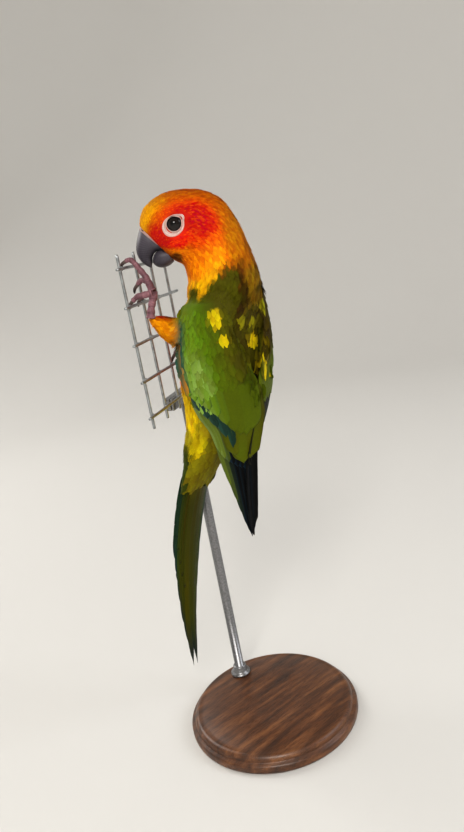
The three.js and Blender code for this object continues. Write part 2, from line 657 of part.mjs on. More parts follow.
// The display stand: a round base with a broken edge, a rod and a block that holds the mesh's lower end.
const baseProfile = [
  [0, 0],
  [BASE_RADIUS - BASE_EDGE / 2, 0],
  [BASE_RADIUS, BASE_EDGE / 2],
  [BASE_RADIUS, BASE_HEIGHT - BASE_EDGE],
  [BASE_RADIUS - BASE_EDGE, BASE_HEIGHT],
  [0, BASE_HEIGHT],
];
const base = new THREE.LatheGeometry(baseProfile.map(([r, h]) => new THREE.Vector2(r, h)), 32);
base.rotateX(Math.PI / 2);
base.deleteAttribute('normal');
base.deleteAttribute('uv');
addPart('stand_base', pointOut(mergeVertices(base, 1e-4)), 0x3a2a20, 0.5, 0, group);

const clampNear = -(2 * WIRE_LAYER + GAP + CLAMP_DEPTH / 2 + WIRE_RADIUS / 2);
const clampBottom = rowHeight(MESH_ROWS - 1) - MESH_END;
const clamp = new THREE.BoxGeometry(CLAMP_WIDTH, CLAMP_DEPTH, CLAMP_HEIGHT);
clamp.rotateZ(meshAngle);
const clampPlace = onMesh(clampNear, (ROD_SIDE + columnSide(1)) / 2, clampBottom + CLAMP_HEIGHT / 2);
clamp.translate(clampPlace.x, clampPlace.y, clampPlace.z);
addPart('stand_clamp', clamp, 0x8c8c8a, 0.35, 0.9);
const rodFoot = onMesh(clampNear, ROD_SIDE, BASE_HEIGHT + GAP);
const rodHead = onMesh(clampNear, ROD_SIDE, clampBottom - GAP);
addPart('stand_rod', bar(rodFoot, rodHead, ROD_RADIUS, 16), 0x9c9c9a, 0.35, 0.9);

export default group;
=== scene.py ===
"""A life-size sun conure that clings to a short piece of welded wire mesh, on a plain display stand.

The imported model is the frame. One skin stands for the flesh, and feathers of real mesh lie over it: small
vanes are planted by Geometry Nodes, and the long feathers of wings and tail are built one by one. All sizes
are in metres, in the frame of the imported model: +Z up, belly towards -Y, the bird's own left towards +X.
"""

import logging
import math
from dataclasses import dataclass, field
from enum import Enum
from typing import Callable, Sequence

import bmesh
import bpy
import numpy as np
from mathutils import Matrix, Vector
from mathutils.bvhtree import BVHTree
from mathutils.kdtree import KDTree

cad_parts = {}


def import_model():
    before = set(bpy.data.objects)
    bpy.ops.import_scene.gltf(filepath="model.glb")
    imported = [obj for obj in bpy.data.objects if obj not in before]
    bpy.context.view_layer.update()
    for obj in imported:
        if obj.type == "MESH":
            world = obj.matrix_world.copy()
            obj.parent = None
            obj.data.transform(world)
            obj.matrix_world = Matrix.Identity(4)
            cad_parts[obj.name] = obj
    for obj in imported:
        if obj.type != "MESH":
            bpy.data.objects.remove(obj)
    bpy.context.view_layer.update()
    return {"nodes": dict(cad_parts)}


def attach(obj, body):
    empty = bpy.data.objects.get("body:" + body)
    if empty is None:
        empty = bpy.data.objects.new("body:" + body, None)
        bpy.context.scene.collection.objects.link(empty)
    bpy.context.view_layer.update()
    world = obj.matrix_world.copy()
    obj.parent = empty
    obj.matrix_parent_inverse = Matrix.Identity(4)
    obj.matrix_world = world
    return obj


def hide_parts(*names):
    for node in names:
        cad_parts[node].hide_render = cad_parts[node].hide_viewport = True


LOG = logging.getLogger("sun_conure")
MM = 0.001
UP = np.array([0.0, 0.0, 1.0])
BIRD_PLACE = np.array([-4.0, 14.0, 0.0])
SIDES = ((1, "left"), (-1, "right"))
Array = np.ndarray
Piece = bpy.types.Object
MeshData = bpy.types.Mesh
Material = bpy.types.Material
Socket = bpy.types.NodeSocket


# Colours and small number helpers


def linear(red: float, green: float, blue: float) -> tuple[float, float, float]:
    """Turn a display colour from 0 to 255 into linear light.

    Args:
        red: Red of the display colour.
        green: Green of the display colour.
        blue: Blue of the display colour.

    Returns:
        The three linear values.
    """
    parts = np.array([red, green, blue]) / 255.0
    low = parts / 12.92
    high = ((parts + 0.055) / 1.055) ** 2.4
    return tuple(float(v) for v in np.where(parts <= 0.04045, low, high))


class Plume(Enum):
    """Colours of the plumage, as display colours."""

    FOREHEAD = (246, 178, 6)
    # CROWN is the crown's own orange, partly darkened as painted shade on the top of the head
    CROWN = (204, 104, 0)
    MASK_RED = (208, 36, 12)
    MASK_LOW = (240, 46, 12)
    CHEEK = (236, 78, 2)
    THROAT = (242, 134, 4)
    NAPE = (200, 122, 4)
    THROAT_LOW = (252, 158, 8)
    NECK_YELLOW = (240, 180, 12)
    # NAPE_DARK also serves as painted shadow on the chin, under the lower bill
    NAPE_DARK = (78, 44, 2)
    MANTLE = (86, 84, 6)
    NAPE_STRIP = (152, 114, 12)
    # MANTLE_DARK also serves as painted shade: where the mantle feathers part, and on the right wing's upper
    # coverts
    MANTLE_DARK = (54, 34, 2)
    FLECK = (208, 182, 12)
    FLECK_DIM = (142, 136, 16)
    COVERT = (92, 120, 8)
    COVERT_BRIGHT = (108, 140, 28)
    COVERT_PALE = (154, 180, 98)
    COVERT_OLIVE = (86, 100, 8)
    WING_EDGE = (52, 96, 82)
    BAND_TEAL = (32, 58, 48)
    FLIGHT_GREEN = (102, 118, 40)
    FLIGHT_BLUE = (20, 48, 66)
    # FLIGHT_DARK also serves as painted shade on the right wing's quills
    FLIGHT_DARK = (10, 10, 11)
    TERTIAL = (84, 84, 4)
    BELLY = (238, 98, 4)
    FLANK = (242, 158, 4)
    VENT = (248, 214, 4)
    VENT_DULL = (176, 158, 10)
    RUMP = (122, 112, 12)
    TAIL_OLIVE = (70, 66, 2)
    TAIL_GREEN = (56, 68, 12)
    TAIL_TEAL = (32, 56, 38)
    TAIL_TIP = (30, 44, 54)
    THIGH_TOP = (190, 40, 10)

    @property
    def light(self) -> Array:
        """The colour in linear light."""
        return np.array(linear(*self.value))


def smoothstep(low: float, high: float, value: Array) -> Array:
    """Rise smoothly from 0 at low to 1 at high.

    Args:
        low: The value where the rise starts.
        high: The value where it ends.
        value: The values to place on the rise.

    Returns:
        Weights from 0 to 1.
    """
    t = np.clip((np.asarray(value, float) - low) / (high - low), 0.0, 1.0)
    return t * t * (3.0 - 2.0 * t)


def fall(low: float, high: float, value: Array) -> Array:
    """Fall smoothly from 1 at low to 0 at high, as smoothstep turned over."""
    return 1.0 - smoothstep(low, high, value)


def hump(value: Array, middle: float, reach: float) -> Array:
    """A soft bell of height one about the middle, as wide as its reach."""
    return np.exp(-(((value - middle) / reach) ** 2))


def blend(first: "Plume | Array", second: "Plume | Array", weight: Array) -> Array:
    """Blend two colours.

    Args:
        first: A shade of the plumage or linear colours.
        second: The same, for the other colour.
        weight: The second colour's share, a number or one for each point.

    Returns:
        Linear colours.
    """
    first, second = (c.light if isinstance(c, Plume) else c for c in (first, second))
    return first + (second - first) * np.clip(weight, 0.0, 1.0)[..., None]


def lay_over(base: Plume, layers: Sequence[tuple[Plume, Array]]) -> Array:
    """Lay shades over a base one after another, each by its weight.

    Args:
        base: The lowest shade.
        layers: Pairs of a shade and its weights.

    Returns:
        Linear colours.
    """
    colour = base.light
    for shade, weight in layers:
        colour = blend(colour, shade, weight)
    return colour


def spline_rows(rows: Array, place: Array) -> Array:
    """Read a smooth curve through rows of numbers.

    Args:
        rows: One row of numbers for each whole place.
        place: Places from 0 to the last row.

    Returns:
        One row of numbers for each place.
    """
    place = np.atleast_1d(np.asarray(place, float))
    last = len(rows) - 1
    low = np.clip(np.floor(np.maximum(place, 0.0)).astype(int), 0, last - 1)
    f = (place - low)[:, None]
    before, start, end, after = (rows[np.clip(low + k, 0, last)] for k in (-1, 0, 1, 2))
    slope_in = (end - before) / 2.0
    slope_out = (after - start) / 2.0
    cubic = 2.0 * start - 2.0 * end + slope_in + slope_out
    square = -3.0 * start + 3.0 * end - 2.0 * slope_in - slope_out
    return ((cubic * f + square) * f + slope_in) * f + start


def unit(vectors: Array) -> Array:
    """Scale vectors to length one."""
    length = np.linalg.norm(vectors, axis=-1, keepdims=True)
    return vectors / np.maximum(length, 1e-12)


def level_axes(turn_deg: float) -> tuple[Array, Array]:
    """Forward and left of something that looks along -Y and is then turned about Z."""
    sine, cosine = math.sin(math.radians(turn_deg)), math.cos(math.radians(turn_deg))
    return np.array([sine, -cosine, 0.0]), np.array([cosine, sine, 0.0])


def tree_of(points: Array) -> KDTree:
    """Sort points into a tree that finds the nearest."""
    tree = KDTree(len(points))
    for number, point in enumerate(points):
        tree.insert(point, number)
    tree.balance()
    return tree


def wave_noise(points: Array, scale: float, seed: int, octaves: int = 3) -> Array:
    """Smooth noise from a few crossed sine waves, always the same for one seed.

    Args:
        points: Places, as rows of coordinates.
        scale: How many swings a unit of length has.
        seed: Picks the directions of the waves.
        octaves: How many finer layers are added.

    Returns:
        Values of about -1 to 1.
    """
    maker = np.random.default_rng(seed)
    total = np.zeros(len(points))
    for level in range(octaves):
        waves = maker.normal(size=(5, points.shape[1])) * scale * 2.0**level
        phases = maker.uniform(0.0, 2.0 * math.pi, 5)
        total += np.sin(points @ waves.T + phases).sum(axis=1) / (2.2 * 2.0**level)
    return np.clip(total / 1.6, -1.0, 1.0)


# Forms shared by the skin, the feathers and their markings


@dataclass(frozen=True)
class BodyForm:
    """The body's outline as rings from the face over the crown and down the back to the tail coverts.

    Each row is the axis x and y, the turn of the ring in degrees, how far forward and how high its back
    point and its front point are, the half width, and where its widest line lies, in millimetres.
    """

    face: tuple = (8.75, 3.7, 55, 26.4, 302.6, 12.9, 283.4, 8.4, 0.5)
    lores: tuple = (8.75, 3.7, 55, 23.4, 310.4, 11.4, 281.8, 10.8, 0.47)
    eye: tuple = (8.75, 3.7, 55, 13.8, 316.0, 10.0, 281.0, 12.4, 0.46)
    crown: tuple = (8.75, 3.7, 55, 3.2, 316.9, 9.0, 280.2, 13.7, 0.46)
    hind_crown: tuple = (8.75, 3.7, 55, -8.4, 314.7, 8.5, 279.0, 14.5, 0.47)
    nape_top: tuple = (8.75, 3.7, 55, -17.9, 308.0, 8.3, 277.6, 15.0, 0.48)
    nape: tuple = (8.75, 3.7, 55, -22.9, 297.8, 8.2, 275.6, 15.5, 0.5)
    neck_top: tuple = (8.75, 3.7, 54, -26.0, 288.6, 8.2, 272.6, 16.0, 0.5)
    neck: tuple = (6.0, 5.4, 49, -25.0, 277.6, 12.6, 268.4, 17.0, 0.5)
    neck_base: tuple = (2.0, 7.4, 34, -22.8, 266.4, 18.6, 262.4, 18.6, 0.5)
    shoulder: tuple = (0.4, 4.8, 14, -21.8, 253.6, 22.4, 254.0, 20.6, 0.5)
    mantle: tuple = (0, 1.6, 0, -20.4, 240.4, 25.0, 242.0, 21.8, 0.54)
    back: tuple = (0, -1.6, 0, -20.4, 226.6, 26.0, 230.4, 22.4, 0.56)
    lower_back: tuple = (0.8, -7.0, 0, -19.6, 212.0, 26.0, 219.0, 21.8, 0.57)
    rump: tuple = (2.6, -12.7, 0, -16.8, 196.0, 20.6, 205.4, 18.2, 0.56)
    vent: tuple = (4.6, -17.6, 0, -13.4, 184.6, 17.0, 194.4, 15.0, 0.56)
    tail_base: tuple = (7.4, -23.4, 0, -11.2, 174.8, 13.4, 184.0, 13.2, 0.56)
    coverts: tuple = (10.4, -28.4, 0, -8.6, 165.0, 8.4, 172.6, 12.8, 0.54)
    covert_tips: tuple = (13.4, -32.8, 0, -4.4, 155.0, 3.6, 159.4, 12.2, 0.5)
    roundness: float = 0.92

    @property
    def rows(self) -> Array:
        """All rings as one table."""
        return np.array([v for v in vars(self).values() if isinstance(v, tuple)], float)

    def point(self, place: Array, angle: Array) -> Array:
        """Find points on the body.

        Args:
            place: Places along the rings, from 0 at the face.
            angle: Angles in radians from the back, positive to the bird's left.

        Returns:
            Points in metres.
        """
        place = np.atleast_1d(np.asarray(place, float))
        angle = np.broadcast_to(np.asarray(angle, float), place.shape)
        x, y, turn, back_f, back_h, front_f, front_h, half, widest = spline_rows(self.rows, place).T
        turned = np.radians(turn)
        zero = np.zeros_like(x)
        forward = np.stack([np.sin(turned), -np.cos(turned), zero], 1)
        left = np.stack([np.cos(turned), np.sin(turned), zero], 1)
        axis = np.stack([x, y, zero], 1)
        back = axis + forward * back_f[:, None] + UP * back_h[:, None]
        front = axis + forward * front_f[:, None] + UP * front_h[:, None]
        centre = front + (back - front) * widest[:, None]
        along = np.cos(angle)
        across = np.sign(np.sin(angle)) * np.abs(np.sin(angle)) ** self.roundness
        end = np.where((along > 0.0)[:, None], back, front)
        reach = np.linalg.norm(end - centre, axis=1)
        offset = unit(back - front) * (along * reach)[:, None] + left * (across * half)[:, None]
        return (centre + offset + BIRD_PLACE) * MM


@dataclass(frozen=True)
class WingForm:
    """A folded wing's outer face, as rows from the shoulder to the wing's tip.

    Each row is the height, how far the wings' meeting line stands to the left, then out and back to the
    leading edge, the bow and the inner edge, and the arm's thickness, in millimetres.
    """

    rows_mm: tuple = (
        (261.5, 0.4, 18.6, -4.6, 25.0, 14.6, 14.5, 23.4, 2.2),
        (255.0, 0.2, 22.2, -7.6, 27.6, 15.0, 12.0, 24.8, 3.4),
        (241.0, 0.0, 26.0, -8.0, 29.0, 16.4, 9.0, 25.2, 4.2),
        (229.0, 0.0, 27.4, -9.0, 29.6, 15.6, 5.6, 25.0, 4.2),
        (216.0, 0.0, 26.6, -8.3, 27.6, 14.4, 2.0, 23.2, 3.8),
        (201.0, 0.6, 22.9, -6.0, 22.8, 12.4, -0.6, 19.0, 3.0),
        (190.0, 1.5, 17.9, -3.2, 18.0, 10.4, -1.8, 14.8, 2.4),
        (175.0, 3.5, 14.0, -1.9, 12.0, 7.6, -2.6, 10.2, 2.0),
        (160.0, 3.9, 11.2, -0.8, 8.4, 5.0, -2.8, 7.0, 1.8),
        (145.0, 4.1, 8.6, -0.6, 5.6, 3.0, -2.6, 4.2, 1.6),
        (130.0, 4.2, 5.6, -0.4, 3.4, 1.4, -2.2, 1.8, 1.4),
        (122.0, 4.2, 3.6, -0.3, 2.2, 0.9, -1.6, 1.0, 1.2),
    )

    def place_of(self, height_mm: Array) -> Array:
        """Find the place among the rows of each height in millimetres."""
        places = np.linspace(0.0, len(self.rows_mm) - 1.0, 800)
        heights = spline_rows(np.array(self.rows_mm), places)[:, 0]
        return np.interp(-np.asarray(height_mm, float), -heights, places)

    def point(self, side: int, place: Array, across: Array, depth_mm: Array = 0.0) -> Array:
        """Find points on or under the wing's outer face.

        Args:
            side: 1 for the left wing, -1 for the right.
            place: Places among the rows.
            across: 0 at the leading edge, 1 at the inner edge.
            depth_mm: How far the points are sunk under the face.

        Returns:
            Points in metres.
        """
        place = np.atleast_1d(np.asarray(place, float))
        across = np.broadcast_to(np.asarray(across, float), place.shape)
        depth = np.broadcast_to(np.asarray(depth_mm, float), place.shape)
        rows = spline_rows(np.array(self.rows_mm), place)
        height, meet, edge_x, edge_y, bow_x, bow_y, inner_x, inner_y = rows[:, :8].T
        rest = 1.0 - across
        x = rest * rest * edge_x + 2 * rest * across * bow_x + across * across * inner_x
        y = rest * rest * edge_y + 2 * rest * across * bow_y + across * across * inner_y
        run_x = rest * (bow_x - edge_x) + across * (inner_x - bow_x)
        run_y = rest * (bow_y - edge_y) + across * (inner_y - bow_y)
        run = np.hypot(run_x, run_y)
        x = x - run_y / run * depth
        y = y + run_x / run * depth
        points = np.stack([meet + side * x, y, height], 1)
        return (points + BIRD_PLACE) * MM

    def width_mm(self, place: Array) -> Array:
        """The length of the outer face from edge to edge at each place, in millimetres."""
        place = np.atleast_1d(np.asarray(place, float))
        steps = [self.point(1, place, c) for c in np.linspace(0.0, 1.0, 9)]
        return sum(np.linalg.norm(b - a, axis=1) for a, b in zip(steps, steps[1:])) / MM


@dataclass(frozen=True)
class TailForm:
    """The tail's middle line and half width, in millimetres, from its root to its tip."""

    rows_mm: tuple = (
        (176.0, 8.4, -24.6, 10.6),
        (159.0, 11.9, -31.6, 11.4),
        (146.0, 15.2, -36.4, 11.8),
        (128.0, 18.9, -41.6, 11.8),
        (108.0, 22.2, -46.0, 11.2),
        (70.0, 27.4, -51.4, 9.8),
        (32.0, 30.0, -55.2, 8.6),
    )
    crown_mm: float = 2.4

    def point(self, place: Array, sideways_mm: Array, depth_mm: Array) -> Array:
        """Find points on the tail's upper face.

        Args:
            place: Places among the rows.
            sideways_mm: How far to the bird's left of the middle.
            depth_mm: How far under the upper face.

        Returns:
            Points in metres.
        """
        rows = np.array(self.rows_mm)
        last = len(rows) - 1
        place = np.atleast_1d(np.asarray(place, float))
        height, x, y, half = spline_rows(rows, place).T
        below = spline_rows(rows, np.minimum(place + 0.1, last))
        above = spline_rows(rows, np.maximum(place - 0.1, 0.0))
        run = unit((below - above)[:, [1, 2, 0]])
        side = unit(np.array([[1.0, 0.06, 0.0]]))
        outward = unit(np.cross(side, run))
        wide = np.asarray(sideways_mm, float) / half
        rise = self.crown_mm * (0.5 - wide * wide) - np.asarray(depth_mm, float)
        middle = np.stack([x, y, height], 1)
        points = middle + side * (wide * half)[:, None] + outward * rise[:, None]
        return (points + BIRD_PLACE) * MM


@dataclass(frozen=True)
class HeadForm:
    """The head's own axes, with the eye's seat and the two halves of the bill, in millimetres."""

    turn_deg: float = 55.0
    axis_x: float = 8.75
    axis_y: float = 3.7
    eye_forward: float = 8.0
    eye_height: float = 300.0
    eye_apex: float = 12.9
    ball_radius: float = 4.6
    ring_radius: float = 5.2
    opening: float = 3.5

    @property
    def forward(self) -> Array:
        """The way the head looks."""
        return level_axes(self.turn_deg)[0]

    @property
    def left(self) -> Array:
        """The head's own left."""
        return level_axes(self.turn_deg)[1]

    def point(self, forward: Array, height: Array, left: Array = 0.0) -> Array:
        """Find points from distances forward, up and left in the head, in millimetres.

        Args:
            forward: How far forward of the head's axis.
            height: How high above the stand's underside.
            left: How far to the head's left.

        Returns:
            Points in metres.
        """
        forward, height, left = np.broadcast_arrays(
            np.atleast_1d(np.asarray(forward, float)), np.asarray(height, float), np.asarray(left, float)
        )
        base = np.array([self.axis_x, self.axis_y, 0.0]) + BIRD_PLACE
        points = base + forward[:, None] * self.forward + left[:, None] * self.left
        points[:, 2] += height
        return points * MM

    def eye_centre(self, side: int) -> Array:
        """The middle of one eyeball, in metres."""
        return self.point(self.eye_forward, self.eye_height, side * (self.eye_apex - self.ball_radius))[0]

    def eye_axis(self, side: int) -> Array:
        """The way one eye looks."""
        return unit(self.left * side + self.forward * 0.16 + UP * 0.06)


@dataclass(frozen=True)
class MeshForm:
    """The piece of welded wire mesh: its place, turn and pitch, in millimetres."""

    pitch: float = 19.05
    distance: float = 36.0
    turn_deg: float = 35.4
    top_row: float = 284.0
    rows: int = 5
    columns: int = 4
    end: float = 7.0
    wire_radius: float = 0.8
    layer: float = 0.95

    def point(self, near: float, sideways: float, height: float) -> Array:
        """Find a point from distances on the mesh.

        Args:
            near: How far from the mesh's middle plane towards the bird.
            sideways: How far along the rows.
            height: Height above the stand's underside.

        Returns:
            The point in metres.
        """
        away, along = level_axes(self.turn_deg)
        return (away * (self.distance - near) + along * sideways + UP * height + BIRD_PLACE) * MM

    def row_height(self, row: int) -> float:
        """The height of one row of wire."""
        return self.top_row - row * self.pitch

    def column_side(self, column: int) -> float:
        """How far sideways one column of wire stands."""
        return (column - (self.columns - 1) / 2.0) * self.pitch


@dataclass(frozen=True)
class LimbForm:
    """A leg's thigh, shank and toes as places on the wire mesh: near, sideways and rise, in millimetres."""

    name: str
    row: int
    toes: tuple
    shank: tuple
    thigh: tuple
    mesh: MeshForm = MeshForm()

    def path(self, places: Sequence[Sequence[float]]) -> Array:
        """Turn places on the mesh into points in metres."""
        height = self.mesh.row_height(self.row)
        return np.array([self.mesh.point(n + self.mesh.layer, s, height + r) for n, s, r in places])


LEFT_LEG = LimbForm(
    name="left",
    row=1,
    toes=(
        (
            (8.4, 18.8, 5.6), (7.4, 19.6, 11.6), (4.6, 20.4, 17.6),
            (1.6, 21.0, 22.2), (-1.4, 21.4, 22.2), (-3.6, 21.6, 18.0),
        ),
        ((8.4, 17.4, 5.4), (6.0, 16.2, 10.0), (2.6, 15.4, 11.4), (-0.6, 15.0, 9.6), (-2.9, 14.8, 5.4)),
        ((8.4, 19.8, 4.4), (5.4, 21.6, 4.2), (2.2, 23.0, 4.2), (-1.2, 23.6, 2.2), (-3.2, 24.0, -1.9)),
        ((8.4, 16.8, 4.4), (5.2, 14.8, 4.0), (2.0, 13.8, 4.0), (-0.9, 13.6, 2.4), (-2.9, 13.4, -1.6)),
    ),
    shank=((5.4, 20.6, -8.0), (6.6, 20.0, -3.0), (8.2, 18.9, 1.6), (8.6, 18.3, 5.0)),
    thigh=((19.0, 4.0, -21.0), (13.4, 11.0, -17.6), (9.2, 16.4, -12.6), (6.0, 20.2, -8.9)),
)
RIGHT_LEG = LimbForm(
    name="right",
    row=3,
    toes=(
        ((8.6, -17.6, 5.6), (6.6, -15.8, 8.4), (2.6, -14.6, 7.4), (-0.6, -14.4, 4.6), (-2.8, -14.4, 0.4)),
        ((8.6, -19.4, 5.6), (6.6, -21.2, 8.0), (2.6, -22.4, 7.0), (-0.6, -22.8, 4.4), (-2.8, -23.0, 0.4)),
        ((8.6, -18.0, 1.4), (6.2, -16.6, -2.8), (2.4, -16.0, -4.2), (-1.2, -15.8, -2.6)),
        ((8.6, -19.6, 1.4), (6.2, -21.0, -2.6), (2.4, -21.6, -4.0), (-1.2, -21.8, -2.4)),
    ),
    shank=((7.6, -20.4, -9.4), (8.4, -19.8, -4.4), (9.0, -19.0, 0.4), (8.8, -18.5, 4.0)),
    thigh=((20.0, -10.6, -3.0), (15.0, -14.4, -6.6), (11.0, -17.8, -9.4), (8.0, -20.2, -10.2)),
)

BODY = BodyForm()
WING = WingForm()
TAIL = TailForm()
HEAD = HeadForm()
MESH = MeshForm()


# Nodes, materials and meshes


class Bench:
    """Adds and joins the nodes of one tree."""

    def __init__(self, tree: bpy.types.NodeTree) -> None:
        """Start on a tree.

        Args:
            tree: The shader or geometry tree to work on.
        """
        self.tree = tree

    def add(self, kind: str, settings: dict | None = None, inputs: dict | None = None) -> bpy.types.Node:
        """Add a node.

        Args:
            kind: The node's type name.
            settings: Properties of the node.
            inputs: Values or output sockets for its inputs, by name or by number.

        Returns:
            The new node.
        """
        node = self.tree.nodes.new(kind)
        for name, value in (settings or {}).items():
            setattr(node, name, value)
        for key, value in (inputs or {}).items():
            socket = node.inputs[key]
            if isinstance(value, Socket):
                self.tree.links.new(value, socket)
            else:
                socket.default_value = value
        return node

    def maths(self, operation: str, first: object, second: object = 0.0, third: object = 0.0) -> Socket:
        """Work on one to three numbers or sockets with a maths node, and give the result's socket."""
        inputs = {0: first, 1: second, 2: third}
        return self.add("ShaderNodeMath", {"operation": operation}, inputs).outputs[0]

    def multiply(self, factor: float, first: object, second: object) -> Socket:
        """Multiply two colours by a factor's share, and give the result's socket."""
        settings = {"data_type": "RGBA", "blend_type": "MULTIPLY"}
        return self.add("ShaderNodeMix", settings, {0: factor, 6: first, 7: second}).outputs[2]

    def ramp(self, value: Socket, stops: Sequence[tuple]) -> Socket:
        """Turn a value into a colour.

        Args:
            value: The socket to read.
            stops: Pairs of a place and a linear colour of three numbers.

        Returns:
            The colour's socket.
        """
        node = self.add("ShaderNodeValToRGB", inputs={0: value})
        elements = node.color_ramp.elements
        while len(elements) < len(stops):
            elements.new(0.5)
        for element, (place, colour) in zip(elements, stops):
            element.position = place
            element.color = (*colour, 1.0)
        return node.outputs[0]

    def attribute(self, name: str, output: str = "Fac") -> Socket:
        """Read a named attribute of the piece."""
        return self.add("ShaderNodeAttribute", {"attribute_name": name}).outputs[output]


@dataclass(frozen=True)
class Gloss:
    """The constants of a surface's shader."""

    roughness: float = 0.5
    metallic: float = 0.0
    specular: float = 0.5
    sheen: float = 0.0
    coat: float = 0.0
    coat_roughness: float = 0.1
    subsurface: float = 0.0


class Surface(Bench):
    """A material in the making: its nodes and its shader."""

    def __init__(self, name: str, gloss: Gloss) -> None:
        """Start a material with its shader's constants set.

        Args:
            name: The material's name.
            gloss: The shader's constants.
        """
        self.material = bpy.data.materials.new(name)
        self.material.use_nodes = True
        super().__init__(self.material.node_tree)
        self.shader = self.tree.nodes["Principled BSDF"]
        constants = {
            "Roughness": gloss.roughness, "Metallic": gloss.metallic, "Specular IOR Level": gloss.specular,
            "Sheen Weight": gloss.sheen, "Coat Weight": gloss.coat, "Coat Roughness": gloss.coat_roughness,
            "Subsurface Weight": gloss.subsurface, "Subsurface Scale": MM,
        }
        for socket, value in constants.items():
            self.shader.inputs[socket].default_value = value

    def feed(self, name: str, value: Socket) -> None:
        """Join a value to an input of the shader."""
        self.tree.links.new(value, self.shader.inputs[name])

    def place(self) -> Socket:
        """The place on the piece, in its own coordinates."""
        return self.add("ShaderNodeTexCoord").outputs["Object"]

    def noise(self, scale: float, detail: float = 2.0, place: Socket | None = None) -> Socket:
        """Add cloudy noise and give its socket, over the piece's own place if no other is named."""
        inputs = {"Vector": place or self.place(), "Scale": scale, "Detail": detail}
        return self.add("ShaderNodeTexNoise", inputs=inputs).outputs[0]

    def shade(self, colour: Socket, light: Socket, hue: object = 0.5) -> None:
        """Give the shader a colour, its light and hue changed."""
        inputs = {"Color": colour, "Hue": hue, "Value": light}
        self.feed("Base Color", self.add("ShaderNodeHueSaturation", inputs=inputs).outputs[0])

    def relief(self, height: Socket, distance: float, strength: float = 1.0) -> None:
        """Bump the surface by a height that stands the distance high, in metres, where it is one."""
        inputs = {"Height": height, "Distance": distance, "Strength": strength}
        self.feed("Normal", self.add("ShaderNodeBump", inputs=inputs).outputs[0])


def new_piece(name: str, points: Array, faces: Sequence, smooth: bool = True) -> Piece:
    """Make a mesh object at the origin.

    Args:
        name: The piece's name.
        points: Its points in metres.
        faces: Its faces as rows of point numbers.
        smooth: Whether its faces are shaded smooth.

    Returns:
        The new object, in the scene.
    """
    mesh = bpy.data.meshes.new(name)
    mesh.from_pydata([tuple(p) for p in np.asarray(points).tolist()], [], [tuple(f) for f in faces])
    mesh.update()
    if smooth:
        mesh.shade_smooth()
    piece = bpy.data.objects.new(name, mesh)
    bpy.context.scene.collection.objects.link(piece)
    return piece


def read_values(data: bpy.types.bpy_prop_collection, key: str, wide: int = 3) -> Array:
    """Read a mesh's values as rows, or as one list where each is a single number."""
    flat = np.empty(len(data) * wide, np.float32)
    data.foreach_get(key, flat)
    return flat.reshape(-1, wide).astype(float) if wide > 1 else flat.astype(float)


def points_of(mesh: MeshData) -> Array:
    """All points of a mesh, as rows."""
    return read_values(mesh.vertices, "co")


def normals_of(mesh: MeshData) -> Array:
    """The normals at all points of a mesh, as rows."""
    return read_values(mesh.vertex_normals, "vector")


def set_points(mesh: MeshData, points: Array) -> None:
    """Move all points of a mesh."""
    mesh.vertices.foreach_set("co", np.asarray(points, np.float32).ravel())
    mesh.update()


def store(mesh: MeshData, name: str, kind: str, values: Array) -> None:
    """Store one value for each point of a mesh.

    Args:
        mesh: The mesh.
        name: The attribute's name.
        kind: FLOAT, FLOAT_VECTOR or FLOAT_COLOR.
        values: The values, one row for each point.
    """
    key = {"FLOAT": "value", "FLOAT_VECTOR": "vector", "FLOAT_COLOR": "color"}[kind]
    values = np.asarray(values, np.float32)
    if kind == "FLOAT_COLOR" and values.shape[1] == 3:
        values = np.concatenate([values, np.ones((len(values), 1), np.float32)], 1)
    attribute = mesh.attributes.get(name) or mesh.attributes.new(name, kind, "POINT")
    attribute.data.foreach_set(key, values.ravel())


def store_map(mesh: MeshData, name: str, values: Array) -> None:
    """Store a UV map from one pair of numbers for each point.

    Args:
        mesh: The mesh.
        name: The map's name.
        values: One pair for each point.
    """
    layer = mesh.uv_layers.get(name) or mesh.uv_layers.new(name=name)
    corners = np.empty(len(mesh.loops), np.int32)
    mesh.loops.foreach_get("vertex_index", corners)
    layer.uv.foreach_set("vector", np.asarray(values, np.float32)[corners].ravel())


def evaluated_copy(piece: Piece, name: str) -> Piece:
    """Turn a piece with its modifiers into a plain mesh, and remove the piece.

    Args:
        piece: The object with modifiers.
        name: The name of the plain piece.

    Returns:
        The plain piece.
    """
    graph = bpy.context.evaluated_depsgraph_get()
    graph.update()
    mesh = bpy.data.meshes.new_from_object(piece.evaluated_get(graph), depsgraph=graph)
    bpy.data.objects.remove(piece)
    mesh.name = name
    plain = bpy.data.objects.new(name, mesh)
    bpy.context.scene.collection.objects.link(plain)
    return plain


def outward(mesh: MeshData) -> None:
    """Turn the faces of a mesh of closed shells outwards."""
    work = bmesh.new()
    work.from_mesh(mesh)
    bmesh.ops.recalc_face_normals(work, faces=work.faces)
    work.to_mesh(mesh)
    work.free()


def voxel_piece(name: str, points: Array, faces: list, voxel_mm: float, rounds: int) -> Piece:
    """Join overlapping shells to one smooth mesh.

    Args:
        name: The piece's name.
        points: The shells' points in metres.
        faces: Their faces.
        voxel_mm: The size of the new faces.
        rounds: How often the mesh is smoothed.

    Returns:
        The joined piece.
    """
    piece = new_piece("raw", points, faces)
    remesh = piece.modifiers.new("voxels", "REMESH")
    remesh.mode = "VOXEL"
    remesh.voxel_size = voxel_mm * MM
    smooth = piece.modifiers.new("smooth", "SMOOTH")
    smooth.iterations = rounds
    return evaluated_copy(piece, name)


